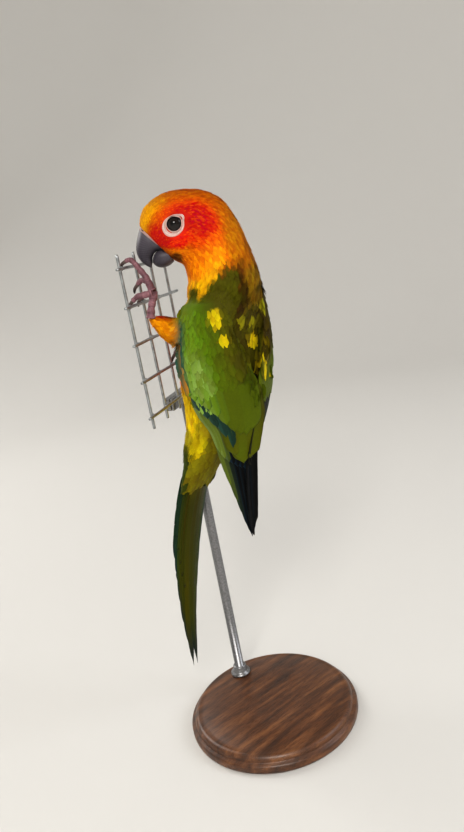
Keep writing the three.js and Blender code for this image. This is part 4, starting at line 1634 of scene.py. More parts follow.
    def settle(self, mesh: MeshData) -> None:
        """Bend the planted vanes along the body and give them their bake map.

        Args:
            mesh: The realized coat.
        """
        values = {}
        for name in ("along", "across", "bend", "root_normal", "vane_size", "unwrap"):
            data = mesh.attributes[name]
            key, wide = ("vector", 3) if data.data_type == "FLOAT_VECTOR" else ("value", 1)
            values[name] = read_values(data.data, key, wide)
        reach = values["along"] * values["vane_size"][:, 1] / MM
        shift = unit(values["root_normal"]) * (values["bend"] * reach * reach * MM)[:, None]
        set_points(mesh, points_of(mesh) - shift)
        patch = np.stack([values["across"] * 0.5, values["along"] - 0.5], 1) * self.PATCH
        store_map(mesh, "OFBake", np.clip(values["unwrap"][:, :2] + patch, 0.0, 1.0))
        for name in (*values, "tract", "lie"):
            if name in mesh.attributes:
                mesh.attributes.remove(mesh.attributes[name])
        mesh.shade_smooth()


def eye_gap(points: Array) -> Array:
    """The distance of each point from the nearer eye's middle, in millimetres."""
    gaps = [np.linalg.norm(points - HEAD.eye_centre(side), axis=1) / MM for side in (1, -1)]
    return np.minimum(*gaps)


def bill_gap(points: Array) -> Array:
    """The distance of each point from the middle of the bill's base, in millimetres."""
    return np.linalg.norm(points - HEAD.point(19.5, 292.0)[0], axis=1) / MM


def ring_reach(around: Array) -> Array:
    """How far the bare ring reaches from the eye's middle, in millimetres.

    Args:
        around: Angles from the front over the top, in radians.

    Returns:
        The reach: less over the top, more at the hind corner and below.
    """
    top, corner = hump(around, 1.3, 0.8), hump(around, 2.62, 0.34)
    low = hump((around + math.pi - 5.55) % math.tau, math.pi, 1.0)
    return HEAD.ring_radius + 0.1 - 0.95 * top + 1.4 * corner + 1.9 * low


def bare_share(points: Array) -> Array:
    """1 where feathers may grow, 0 on the bare ring of the eye."""
    share = np.ones(len(points))
    for side in (1, -1):
        centre, axis, front, up = Eye(side, "").frame()
        offset = (points - centre) / MM
        across, height = offset @ front, offset @ up
        beyond = np.hypot(across, height) - ring_reach(np.arctan2(height, across) % math.tau)
        share = np.where(offset @ axis > 0.0, np.minimum(share, smoothstep(0.7, 1.2, beyond)), share)
    return share


def belt(low: float, high: float) -> Callable[[dict, Array], Array]:
    """Choose the part of head and body between two places along the rings.

    Args:
        low: Where the belt starts.
        high: Where it ends.

    Returns:
        A function that gives each point's share.
    """

    def share(facts: dict, points: Array) -> Array:
        """Each point's share of the belt."""
        inside = (facts["place"] >= low) & (facts["place"] < high) & (facts["away"] < 1.6)
        flesh = (facts["wing"] + facts["thigh"] < 0.5) & (facts["wing_away"] > 1.5)
        return inside * flesh * bare_share(points)

    return share


def sided(low: float, high: float, back: bool) -> Callable[[dict, Array], Array]:
    """Choose the back or the belly side of the body between two places along the rings.

    Args:
        low: Where the part starts.
        high: Where it ends.
        back: Whether the back is meant.

    Returns:
        A function that gives each point's share.
    """

    def share(facts: dict, points: Array) -> Array:
        """Each point's share of that side."""
        behind = np.abs(facts["angle"]) < math.radians(78.0)
        return belt(low, high)(facts, points) * (behind == back)

    return share


def wing_arm(side: int) -> Callable[[dict, Array], Array]:
    """Choose the arm of one wing."""

    def share(facts: dict, points: Array) -> Array:
        """Each point's share of the arm."""
        middle = (BIRD_PLACE[0] + 0.3) * MM
        row, across = facts["wing_place"], facts["wing_across"]
        outer = (facts["wing_away"] < 2.1) & (row > 0.5) & (row < 4.45) & ((across > 0.06) | (row < 3.5))
        return (facts["wing"] >= 0.5) * ((points[:, 0] - middle) * side > 0.0) * outer * 1.0

    return share


def thighs(facts: dict, points: Array) -> Array:
    """Choose both thighs."""
    return (facts["thigh"] >= 0.5) * 1.0


SOFT, FLUFFY, CONTOUR = VaneKind.SOFT, VaneKind.FLUFFY, VaneKind.CONTOUR
FIRM = "firm"
TRACTS = (
    Tract("coat_face", "head_plumage", SOFT, 0.62, belt(-1.0, 2.2), 0.5, 1),
    Tract("coat_crown", "head_plumage", SOFT, 0.78, belt(2.2, 4.6), 0.48, 2),
    Tract("coat_nape", "head_plumage", SOFT, 0.95, belt(4.6, 7.2), 0.46, 3),
    Tract("coat_neck", "neck_plumage", FLUFFY, 1.15, belt(7.2, 9.6), 0.46, 4),
    Tract("coat_back", "body_plumage", CONTOUR, 1.7, sided(9.6, 14.0, True), 0.56, 5, 0.14, FIRM),
    Tract("coat_breast", "body_plumage", FLUFFY, 1.35, sided(9.6, 12.4, False), 0.5, 6),
    Tract("coat_belly", "body_plumage", FLUFFY, 1.4, sided(12.4, 16.0, False), 0.5, 7),
    Tract("coat_rump", "body_plumage", CONTOUR, 1.9, sided(14.0, 16.0, True), 0.56, 8, 0.12, FIRM),
    Tract("coat_tail_coverts", "tail_feathers", CONTOUR, 1.9, belt(16.0, 17.5), 0.4, 9, 0.05, FIRM),
    Tract("coat_wing_left", "wing_plumage", CONTOUR, 1.75, wing_arm(1), 0.52, 10, 0.09, FIRM, wing_length),
    Tract("coat_wing_right", "wing_plumage", CONTOUR, 1.75, wing_arm(-1), 0.52, 11, 0.09, FIRM, wing_length),
    Tract("coat_thighs", "body_plumage", SOFT, 1.15, thighs, 0.44, 12, length_mm=thigh_length),
)


# Long feathers


class Vein(Enum):
    """Kinds of long feather, each with its own colours."""

    PRIMARY = "primary"
    SECONDARY = "secondary"
    TERTIAL = "tertial"
    GREATER_COVERT = "greater_covert"
    PRIMARY_COVERT = "primary_covert"
    TAIL = "tail"


@dataclass(frozen=True)
class Quill:
    """One long feather: where its shaft runs, its half width, how deep it lies, and how far painted shade
    darkens it.
    """

    kind: Vein
    across: float
    root_mm: float
    tip_mm: float
    half_mm: float
    depth_mm: float
    taper: float = 0.15
    lean: float = 0.0
    seed: int = 0
    painted_shade: float = 0.0

@dataclass
class FeatherSheets:
    """Collects closed long feathers and joins them to one piece."""

    name: str
    place: Callable[[Quill, Array, Array, Array], Array]
    rows: int = 26
    columns: int = 10
    sheets: list = field(default_factory=list)
    colours: list = field(default_factory=list)
    marks: list = field(default_factory=list)
    tones: list = field(default_factory=list)

    def colour(self, quill: Quill, along: Array, across: Array) -> Array:
        """Colour one feather from its shaft, webs and tip, or darken it whole as painted shade.

        Args:
            quill: The feather.
            along: 0 at the root, 1 at the tip.
            across: -1 at the outer edge, 1 at the inner.

        Returns:
            Linear colours.
        """
        out = fall(-0.35, 0.15, across)
        noise = wave_noise(np.stack([along * 3.0, across], 1), 1.2, quill.seed)
        # painted shade: a shaded feather is the tertial's olive darkened towards near black by its share
        if quill.painted_shade > 0.0:
            return blend(Plume.TERTIAL, Plume.FLIGHT_DARK, quill.painted_shade)
        if quill.kind is Vein.PRIMARY:
            leading = fall(0.06, 0.5, quill.across)
            web = out * (1.0 - 0.5 * smoothstep(0.8, 1.0, along)) * (0.8 - 0.6 * quill.across)
            outer = blend(Plume.FLIGHT_BLUE, Plume.FLIGHT_GREEN, leading)
            return blend(Plume.FLIGHT_DARK, outer, np.maximum(web, 0.85 * leading))
        if quill.kind is Vein.SECONDARY:
            green = blend(Plume.FLIGHT_GREEN, Plume.COVERT_PALE, 0.3 * out)
            web = blend(Plume.FLIGHT_DARK, Plume.FLIGHT_BLUE, 0.6 * out)
            return blend(web, green, fall(0.2, 0.42, quill.across))
        if quill.kind is Vein.TERTIAL:
            body = blend(Plume.TERTIAL, Plume.COVERT_OLIVE, 0.5 + 0.5 * noise)
            return blend(body, Plume.MANTLE_DARK, 0.35 * smoothstep(0.5, 1.0, np.abs(across)))
        if quill.kind is Vein.GREATER_COVERT:
            outer = fall(0.35, 0.65, quill.across)
            body = blend(Plume.COVERT_OLIVE, Plume.COVERT_BRIGHT, outer)
            body = blend(body, Plume.BAND_TEAL, 0.6 * smoothstep(0.3, 1.0, across) * outer)
            return blend(body, Plume.COVERT_PALE, 0.3 * out * smoothstep(0.3, 0.8, along) * outer)
        if quill.kind is Vein.PRIMARY_COVERT:
            return blend(Plume.BAND_TEAL, Plume.WING_EDGE, 0.4 * out)
        side = abs(quill.across)
        return lay_over(Plume.TAIL_OLIVE, (
            (Plume.TAIL_GREEN, 0.3 + 0.5 * noise),
            (Plume.RUMP, fall(0.04, 0.2, along) * fall(2.0, 5.0, side)),
            (Plume.TAIL_GREEN, 0.8 * smoothstep(3.0, 6.5, side)),
            (Plume.TAIL_TEAL, smoothstep(5.0, 7.6, side)),
            (Plume.TAIL_TIP, 0.8 * smoothstep(0.72, 1.0, along)),
        ))

    def add(self, quill: Quill) -> None:
        """Add one feather: two faces with a raised shaft, thin edges and a few splits.

        Args:
            quill: The feather to add.
        """
        maker = np.random.default_rng(900 + quill.seed)
        rows, columns = self.rows, self.columns
        v, u = (g.ravel() for g in np.meshgrid(
            np.linspace(0.0, 1.0, rows + 1) ** 0.9, np.linspace(-1.0, 1.0, columns + 1), indexing="ij"
        ))
        shape = smoothstep(-0.3, 0.16, v) * (1.0 - quill.taper * v)
        shape *= np.sqrt(np.clip(1.0 - (np.maximum(v - 0.8, 0.0) / 0.205) ** 2.0, 0.0, 1.0))
        for _ in range(3):
            split, side = maker.uniform(0.35, 0.92), maker.choice((-1.0, 1.0))
            shape *= 1.0 - 0.16 * hump(v, split, 0.012) * (u * side > 0.6)
        along = v - 0.035 * np.abs(u) * (v > 0.6)
        shift = u * shape * quill.half_mm
        shaft = 0.2 * hump(shift, 0.0, 0.3) * (1.0 - 0.6 * v)
        curl = 0.9 * (0.22 * u * u - 0.3 * u)
        thin = 0.06 + 0.07 * (1.0 - np.abs(u))
        top = self.place(quill, along, shift, quill.depth_mm + curl - shaft - thin)
        low = self.place(quill, along, shift, quill.depth_mm + curl + thin)
        each, wide = len(top), columns + 1
        faces = []
        for quad in grid_faces(rows, columns, False):
            faces += [quad, tuple(n + each for n in reversed(quad))]
        rim = [*range(wide)] + [r * wide + columns for r in range(1, rows + 1)]
        rim += [rows * wide + c for c in reversed(range(columns))]
        rim += [r * wide for r in range(rows - 1, 0, -1)]
        faces += [(b, a, a + each, b + each) for a, b in zip(rim, rim[1:] + rim[:1])]
        colours = np.broadcast_to(self.colour(quill, v, u), (each, 3))
        mark = np.stack([u * 0.5 + 0.5, v], 1)
        self.sheets.append((np.concatenate([top, low]), faces))
        self.colours += [colours, colours * 0.6]
        self.marks += [mark, mark]
        self.tones.append(np.full(2 * each, maker.uniform(0.2, 0.8)))

    def finish(self, material: Material, slot: str, replaced: Sequence[str]) -> None:
        """Join the feathers to one piece.

        Args:
            material: Their material.
            slot: Not used.
            replaced: CAD nodes that the piece stands for.
        """
        piece = new_piece(self.name, *joined(self.sheets))
        mesh = piece.data
        marks = np.concatenate(self.marks)
        store(mesh, "plumage", "FLOAT_COLOR", np.concatenate(self.colours))
        store(mesh, "tone", "FLOAT", np.concatenate(self.tones))
        store_map(mesh, "vane", marks)
        each = (self.rows + 1) * (self.columns + 1)
        which, inner = np.divmod(np.arange(len(marks)), 2 * each)
        strip = which + 0.04 + 0.46 * (inner >= each) + 0.42 * marks[:, 0]
        store_map(mesh, "OFBake", np.stack([strip / len(self.sheets), 0.02 + 0.96 * marks[:, 1]], 1))
        outward(mesh)
        declare(piece, material, replaced)


@dataclass(frozen=True)
class WingFeathers:
    """All long feathers of one wing."""

    side: int
    name: str

    def place(self, quill: Quill, along: Array, shift: Array, depth: Array) -> Array:
        """Lay a point of a feather on the wing's outer face, the left wing's over the right's.

        Args:
            quill: The feather.
            along: 0 at the root, 1 at the tip.
            shift: Sideways from the shaft, in millimetres.
            depth: Depth under the face, in millimetres.

        Returns:
            Points in metres.
        """
        height = quill.root_mm + (quill.tip_mm - quill.root_mm) * along
        row = WING.place_of(height)
        across = quill.across + quill.lean * along + shift / np.maximum(WING.width_mm(row), 4.0)
        over = np.maximum(-across, 0.0) - 12.0 * self.side * np.maximum(across - 1.0, 0.0)
        sunk = 2.4 * smoothstep(210.0, 222.0, height)
        inner = 1.08 if self.side > 0 else 0.97
        return WING.point(self.side, row, np.clip(across, -0.12, inner), depth + 0.4 * over + sunk)

    def covert_tip(self, across: float) -> float:
        """How high the tip of a greater covert stands: lower and lower towards the wing's inner edge."""
        places = [0.05, 0.2, 0.3, 0.4, 0.5, 0.6, 0.8, 1.0]
        left = [214.0, 210.0, 208.0, 204.0, 199.0, 192.0, 187.0, 192.0]
        right = [214.0, 210.0, 208.0, 206.0, 205.0, 204.0, 203.0, 198.0]
        return float(np.interp(across, places, left if self.side > 0 else right))

    def quills(self) -> list[Quill]:
        """List the wing's long feathers, the deepest first."""
        listed = []
        left = self.side > 0
        for i, reach in enumerate((0.6, 0.72, 0.84, 0.94, 1.0, 0.99, 0.93)):
            across, tip, depth = 0.06 + 0.86 * i / 6.0, 206.0 - reach * 81.0, 2.35 - 0.14 * i
            listed.append(Quill(Vein.PRIMARY, across, 207.0, tip, 3.9, depth, 0.3, 0.0, i))
        for i in range(7):
            across, tip, depth = 0.1 + 0.66 * i / 6.0, 179.0 - 12.0 * (i / 6.0) ** 0.7, 1.5 - 0.11 * i
            # painted shade: on the right wing, the secondaries from a third of the way across inwards are
            # darkened nearly to black, as on the side turned from the light
            painted_shade = 0.0 if left or across < 0.3 else 0.9
            listed.append(Quill(Vein.SECONDARY, across, 214.0, tip, 4.6, depth, 0.1, 0.03, 10 + i, painted_shade))
        for i, drop in enumerate((7.0, 9.0, 12.0, 14.0, 15.0)):
            across, depth = 0.13 + 0.1 * i, 0.75 - 0.08 * i
            tip = self.covert_tip(across) - drop
            listed.append(Quill(Vein.PRIMARY_COVERT, across, 217.0, tip, 3.4, depth, 0.15, 0.02, 20 + i))
        start, pitch, half = (0.58, 0.16, 6.2) if left else (0.57, 0.13, 5.2)
        # painted shade: the right wing's tertials are darkened nearly to black in the same way
        painted_shades = (0.0, 0.0, 0.0) if left else (0.95, 0.95, 0.85)
        for i, tip in enumerate((177.0, 171.5, 173.5)):
            across, depth = start + pitch * i, 0.5 - 0.14 * i
            listed.append(Quill(Vein.TERTIAL, across, 222.0, tip, half, depth, -0.1, 0.0, 30 + i, painted_shades[i]))
        for i in range(10):
            across, depth = 0.08 + 0.84 * i / 9.0, 0.3 - 0.06 * i
            tip = self.covert_tip(across)
            listed.append(Quill(Vein.GREATER_COVERT, across, 230.0, tip, 4.4, depth, 0.1, 0.0, 40 + i))
        return listed

    def build(self, material: Material) -> None:
        """Build the wing's long feathers."""
        sheets = FeatherSheets(f"feathers_wing_{self.name}", self.place)
        for quill in self.quills():
            sheets.add(quill)
        nodes = (f"wing_{self.name}_primaries", f"wing_{self.name}_secondaries")
        sheets.finish(material, "flight_feathers", nodes)


@dataclass(frozen=True)
class TailFeathers:
    """The twelve long feathers of the tail, the middle pair on top."""

    reaches: tuple = (0.42, 0.54, 0.66, 0.78, 0.89, 1.0)
    half_mm: float = 4.1

    def place(self, quill: Quill, along: Array, shift: Array, depth: Array) -> Array:
        """Lay a point of a feather on the tail.

        Args:
            quill: The feather, its across in millimetres.
            along: 0 at the root, 1 at the tip.
            shift: Sideways from the shaft, in millimetres.
            depth: Depth under the upper face, in millimetres.

        Returns:
            Points in metres.
        """
        rows = np.array(TAIL.rows_mm)
        height = quill.root_mm + (quill.tip_mm - quill.root_mm) * along
        places = np.linspace(0.0, len(rows) - 1.0, 400)
        row = np.interp(-height, -spline_rows(rows, places)[:, 0], places)
        fan = 0.8 + 0.2 * smoothstep(0.0, 0.2, along)
        return TAIL.point(row, quill.across * fan + shift, depth)

    def build(self, material: Material) -> None:
        """Build the tail's feathers."""
        sheets = FeatherSheets("feathers_tail", self.place, rows=40)
        for i, reach in enumerate(self.reaches):
            for side in (-1, 1):
                across = side * (1.6 + 1.4 * (5 - i))
                depth = 0.3 + 0.3 * (5 - i) + (0.14 if side < 0 else 0.0)
                tip, seed = 159.0 - reach * 127.0, 60 + 2 * i + side
                sheets.add(Quill(Vein.TAIL, across, 170.0, tip, self.half_mm, depth, 0.42, 0.0, seed))
        sheets.finish(material, "tail_feathers", ("tail",))


# Head, feet and claws


def tube(path: Array, radii: Array, sides: int = 16) -> tuple[Array, list]:
    """Make a closed round tube along a path.

    Args:
        path: Points in metres.
        radii: One radius for each point, in metres.
        sides: How many sides the tube has.

    Returns:
        Points and faces.
    """
    run = unit(np.gradient(path, axis=0))
    helper = np.array([0.3, 0.2, 0.93]) if abs(run[0][2]) < 0.9 else np.array([1.0, 0.1, 0.0])
    first = []
    for r in run:
        helper = unit(helper - r * (helper @ r))
        first.append(helper)
    first = np.array(first)
    second = np.cross(run, first)
    angles = np.arange(sides) / sides * math.tau
    rings = path[:, None] + radii[:, None, None] * (
        first[:, None] * np.cos(angles)[None, :, None] + second[:, None] * np.sin(angles)[None, :, None]
    )
    points = np.concatenate([rings.reshape(-1, 3), path[:1], path[-1:]])
    faces = grid_faces(len(path) - 1, sides)
    end = len(points) - 1
    last = (len(path) - 1) * sides
    for s in range(sides):
        faces += [(end - 1, (s + 1) % sides, s), (end, last + s, last + (s + 1) % sides)]
    return points, faces


@dataclass(frozen=True)
class Eye:
    """One eye: a dark ball and the bare lids round it."""

    side: int
    name: str

    def frame(self) -> tuple[Array, Array, Array, Array]:
        """The ball's middle, the way it looks, and forward and up across its face."""
        axis = HEAD.eye_axis(self.side)
        front = unit(HEAD.forward - axis * (HEAD.forward @ axis))
        up = unit(UP - axis * (UP @ axis) - front * (UP @ front))
        return HEAD.eye_centre(self.side), axis, front, up

    def ball(self, material: Material) -> None:
        """Build the eyeball with a slightly raised cornea."""
        centre, axis, front, up = self.frame()
        rings, sides = 36, 48
        down, round_by = np.divmod(np.arange((rings + 1) * sides), sides)
        polar, around = math.pi * (down / rings) ** 1.25, round_by / sides * math.tau
        reach = HEAD.ball_radius + 0.28 * hump(polar, 0.0, 0.42) - 0.02
        across = np.outer(np.cos(around), front) + np.outer(np.sin(around), up)
        ray = np.outer(np.cos(polar), axis) + np.sin(polar)[:, None] * across
        iris = smoothstep(0.3, 0.34, polar) * fall(0.56, 0.66, polar)
        tint = np.array(linear(6, 5, 6)) + np.outer(iris, linear(26, 16, 12))
        points = centre + MM * reach[:, None] * ray
        piece = tinted_piece(f"eyeball_{self.name}", points, grid_faces(rings, sides), tint)
        declare(piece, material, (f"eye_{self.name}",))

    def lids(self, skin: Skin, material: Material) -> None:
        """Build the bare ring: the lid's margin, wrinkled folds, and an edge that sinks into the skin."""
        centre, axis, front, up = self.frame()
        polygons = [tuple(f.vertices) for f in skin.piece.data.polygons]
        surface = BVHTree.FromPolygons(skin.points.tolist(), polygons)
        rings, sides = 26, 96
        points, tint = [], []
        pale, warm, dark = (np.array(linear(*c)) for c in ((222, 198, 190), (196, 152, 146), (70, 48, 48)))
        for r in range(rings + 1):
            t = r / rings
            bow = math.sin(math.pi * t)
            far = float(smoothstep(0.12, 0.45, t))
            shade = pale + (warm - pale) * (0.5 + 0.5 * math.sin(t * 26.0 + 2.2)) * 0.55
            shade = shade + (dark - shade) * hump(t, 0.0, 0.05)
            for s in range(sides):
                around = s / sides * math.tau
                inner = HEAD.opening * (1.0 - 0.05 * math.sin(around) ** 2) + 0.35 * hump(around, 2.6, 0.36)
                reach = inner + (float(ring_reach(around)) - inner) * t
                foot = centre + (math.cos(around) * front + math.sin(around) * up) * reach * MM
                hit = surface.ray_cast(Vector(foot + axis * 0.02), Vector(-axis))[0]
                ground = (np.array(hit) - centre) @ axis / MM if hit is not None else 2.0
                ball = math.sqrt(max(HEAD.ball_radius ** 2 - min(reach, 4.4) ** 2, 0.0))
                lid = ball + (0.1 + 0.62 * math.sin(math.pi * t / 0.2) ** 0.6 if t < 0.2 else 0.15)
                fold = 0.13 * math.sin(t * 26.0 + 1.4 * math.sin(around * 3.0)) * bow
                grain = 0.05 * math.sin(around * 31.0 + t * 9.0) * bow
                sunk = ground + 0.62 - 1.3 * max(0.0, t - 0.72) / 0.28
                points.append(foot + axis * (lid * (1.0 - far) + sunk * far + fold + grain) * MM)
                tint.append(shade)
        faces = grid_faces(rings, sides)
        piece = tinted_piece(f"eyelids_{self.name}", np.array(points), faces, np.array(tint), axis)
        declare(piece, material, (f"eye_ring_{self.name}",))


@dataclass(frozen=True)
class BillHalf:
    """One half of the bill as rings: outer point forward and up, the same of the inner, and half width."""

    name: str
    rings: tuple
    tip: tuple
    around: int = 56
    steps: int = 8
    middle: float = 0.52

    @property
    def rows(self) -> Array:
        """The rings and the narrow tip as one table."""
        return np.array(self.rings + ((*self.tip, *self.tip, 0.12),), float)

    def ring(self, place: float) -> tuple[Array, Array, Array, float]:
        """One ring's outer, inner and middle point in metres, and half its width in millimetres."""
        out_f, out_h, in_f, in_h, half = spline_rows(self.rows, np.array([place]))[0]
        outer, inner = HEAD.point(out_f, out_h)[0], HEAD.point(in_f, in_h)[0]
        return outer, inner, outer + (inner - outer) * self.middle, max(half, 0.05)

    def on_ring(self, ring: tuple[Array, Array, Array, float], angle: float, keel: float = 1.0) -> Array:
        """A point of a ring.

        Args:
            ring: The ring.
            angle: The angle from its outer point, in radians.
            keel: How far the outer point is pulled out.

        Returns:
            The point in metres.
        """
        outer, inner, centre, half = ring
        along, across = math.cos(angle), math.sin(angle)
        end, power = (outer, 0.9) if along > 0.0 else (inner, 0.72)
        wide = math.copysign(abs(across) ** power, across)
        return centre + (end - centre) * abs(along) ** 0.95 * keel + HEAD.left * wide * half * MM

    def build(self, material: Material) -> None:
        """Build the half with its growth ridges, a keel and sharp cutting edges."""
        last = len(self.rings)
        places = np.linspace(0.0, last, last * self.steps + 1)
        points, tint = [], []
        horn, pale, tip_grey = (np.array(linear(*c)) for c in ((60, 56, 65), (118, 112, 120), (92, 86, 92)))
        for place in places:
            ring = self.ring(place)
            share = place / last
            wave = math.sin(place * 19.0)
            ridge = 0.05 * wave * (0.3 + 0.7 * math.sin(math.pi * min(1.0, share * 1.2)))
            shade = horn + (pale - horn) * (0.35 * (1.0 - share) ** 2 + 0.12 * wave)
            # the horn turns paler grey towards the tip
            shade = shade + (tip_grey - shade) * 0.6 * float(smoothstep(0.55, 1.0, share))
            for number in range(self.around):
                angle = number / self.around * math.tau
                keel = 1.0 + 0.04 * hump(angle if angle < math.pi else angle - math.tau, 0.0, 0.2)
                point = self.on_ring(ring, angle, keel)
                points.append(point + unit(point - ring[2]) * ridge * MM)
                tint.append(np.clip(shade, 0.004, 1.0))
        faces = grid_faces(len(places) - 1, self.around)
        faces.append(tuple(range(self.around)))
        faces.append(tuple((len(places) - 1) * self.around + s for s in reversed(range(self.around))))
        piece = tinted_piece(f"bill_{self.name}_horn", np.array(points), faces, np.array(tint))
        declare(piece, material, (f"bill_{self.name}",))

    def cere(self, material: Material) -> None:
        """Build the bare band over the upper half's base, with both nostrils."""
        steps, sides = 14, 96
        points, tint = [], []
        pale, nostril_shade = np.array(linear(178, 150, 146)), np.array(linear(26, 18, 18))
        for step in range(steps + 1):
            t = step / steps
            ring = self.ring(0.3 * t)
            back = HEAD.forward * (-1.2 * (1.0 - t)) * MM
            for s in range(sides + 1):
                angle = (s / sides * 2.0 - 1.0) * 2.0
                base = self.on_ring(ring, angle) + back
                down, round_by = t - 0.42, abs(angle) - 0.62
                hole = math.exp(-((down / 0.17) ** 2 + (round_by / 0.13) ** 2) ** 2)
                rim = hump(math.hypot(down / 0.27, round_by / 0.22), 1.0, 1.0 / 3.0)
                swell = 0.75 * math.sin(math.pi * (0.12 + 0.88 * t)) ** 0.7 - 0.12 + 0.2 * rim - 0.9 * hole
                swell *= 1.0 - 0.8 * float(smoothstep(1.5, 2.0, abs(angle)))
                points.append(base + unit(base - ring[2]) * swell * MM)
                # painted shade: the nostril holes darkened nearly to black
                tint.append(pale + (nostril_shade - pale) * hole)
        faces = grid_faces(steps, sides, False)
        piece = tinted_piece("cere", np.array(points), faces, np.array(tint), HEAD.forward)
        declare(piece, material)


UPPER_BILL = BillHalf(
    "upper",
    ((25.9, 301.1, 15.6, 288.6, 6.9), (27.3, 298.3, 16.9, 289.2, 7.0), (28.9, 294.6, 18.9, 289.4, 6.5),
     (29.8, 290.6, 21.0, 288.6, 5.3), (29.1, 286.8, 22.6, 286.6, 3.7), (27.2, 283.9, 23.2, 284.3, 2.2),
     (25.2, 282.1, 23.6, 282.9, 0.9)),
    (24.2, 281.5),
)
LOWER_BILL = BillHalf(
    "lower",
    ((12.4, 282.8, 15.6, 289.4, 6.2), (14.8, 281.4, 17.6, 289.6, 6.5), (17.8, 280.8, 19.8, 289.2, 6.2),
     (20.4, 281.3, 21.6, 287.6, 4.9), (22.2, 282.6, 22.6, 285.8, 2.8)),
    (23.0, 284.2),
)


@dataclass(frozen=True)
class Foot:
    """A scaled foot that grips the wire, and its four claws."""

    leg: LimbForm
    voxel_mm: float = 0.3
    shank_mm: tuple = (2.5, 1.9, 2.1, 2.7)
    toe_mm: tuple = (2.0, 1.75, 1.5, 1.35, 1.15)
    claw_mm: tuple = (1.05, 0.85, 0.6, 0.3)
    pad_mm: float = 3.6

    def build(self, skin_finish: Material, horn_finish: Material) -> None:
        """Build the foot and its claws."""
        bones = [(self.leg.path(self.leg.shank), np.array(self.shank_mm))]
        for toe in self.leg.toes:
            path = self.leg.path(toe)[:-1]
            bones.append((path, np.array(self.toe_mm)[: len(path)] * (1.0 if len(path) > 4 else 0.97)))
        shells, dense = [], []
        for path, radii in bones:
            places = np.linspace(0.0, len(path) - 1.0, 9 * len(path))
            smooth = spline_rows(path, places)
            length = np.concatenate([[0.0], np.cumsum(np.linalg.norm(np.diff(smooth, axis=0), axis=1))]) / MM
            thick = spline_rows(radii[:, None], places)[:, 0]
            thick = thick * (1.0 + 0.09 * np.cos(length * math.tau / self.pad_mm)) * MM
            thick[-1] *= 0.5
            shells.append(tube(smooth, thick, 14))
            dense.append((smooth, length))
        piece = voxel_piece(f"foot_{self.leg.name}_skin", *joined(shells), self.voxel_mm, 4)
        self.scales(piece.data, dense)
        declare(piece, skin_finish, (f"foot_{self.leg.name}",))
        for number, toe in enumerate(self.leg.toes, 1):
            self.claw(number, self.leg.path(toe), horn_finish)

    def scales(self, mesh: MeshData, dense: list) -> None:
        """Press scutes into the skin, broad ones on top and small ones below, and darken the grooves between
        them as painted shade.

        Args:
            mesh: The remeshed foot.
            dense: Fine paths with their running lengths.
        """
        spots, runs = (np.concatenate(v) for v in zip(*dense))
        tree = tree_of(spots)
        points, normals = points_of(mesh), normals_of(mesh)
        near = np.array([tree.find(p)[1] for p in points])
        around = unit(points - spots[near])
        run = runs[near] + ((points - spots[near]) * np.gradient(spots, axis=0)[near]).sum(axis=1) / MM / 0.5
        top = smoothstep(-0.2, 0.5, around @ -level_axes(MESH.turn_deg)[0])
        scute = np.abs(np.sin(run * math.pi / 1.25)) ** 0.35
        turn = np.arctan2(around[:, 2], around[:, 0])
        small = np.abs(np.sin(run * math.pi / 0.72) * np.sin(turn * 5.0)) ** 0.4
        height = (scute * top + small * (1.0 - top)) - 0.8
        set_points(mesh, points + normals * (height * 0.16 * MM)[:, None])
        pink, dusk, crease_shade = (np.array(linear(*c)) for c in ((158, 112, 120), (104, 70, 78), (60, 38, 44)))
        tint = blend(pink, dusk, 0.45 + 0.4 * wave_noise(points, 700.0, 51))
        # painted shade: the skin is darkened where it lies low between the scutes
        tint = blend(tint, crease_shade, 0.75 * np.clip(-height * 1.6, 0.0, 1.0))
        store(mesh, "tint", "FLOAT_COLOR", tint)
        mesh.shade_smooth()

    def claw(self, number: int, toe: Array, material: Material) -> None:
        """Build one hooked claw from the end of its toe.

        Args:
            number: The claw's number.
            toe: The toe's path, the claw's tip last.
            material: Its material.
        """
        run = unit(toe[-2] - toe[-3])
        end, tip = toe[-2], toe[-1]
        knots = [end - run * 0.5 * MM, end + (tip - end) * 0.28 + run * 1.5 * MM]
        knots += [end + (tip - end) * 0.75 + run * 1.0 * MM, tip]
        places = np.linspace(0.0, 3.0, 19)
        radii = np.interp(places, [0, 1, 2, 3], self.claw_mm) * MM
        radii[-1] *= 0.35
        points, faces = tube(spline_rows(np.array(knots), places), radii, 20)
        share = np.concatenate([np.repeat(places / 3.0, 20), [0.0, 1.0]])
        dark, pale = np.array(linear(38, 32, 32)), np.array(linear(104, 88, 84))
        tint = blend(pale, dark, smoothstep(0.0, 0.6, share))
        piece = tinted_piece(f"claw_{self.leg.name}_{number}_horn", points, faces, tint)
        declare(piece, material, (f"claw_{self.leg.name}_{number}",))


# Wire mesh, stand and studio


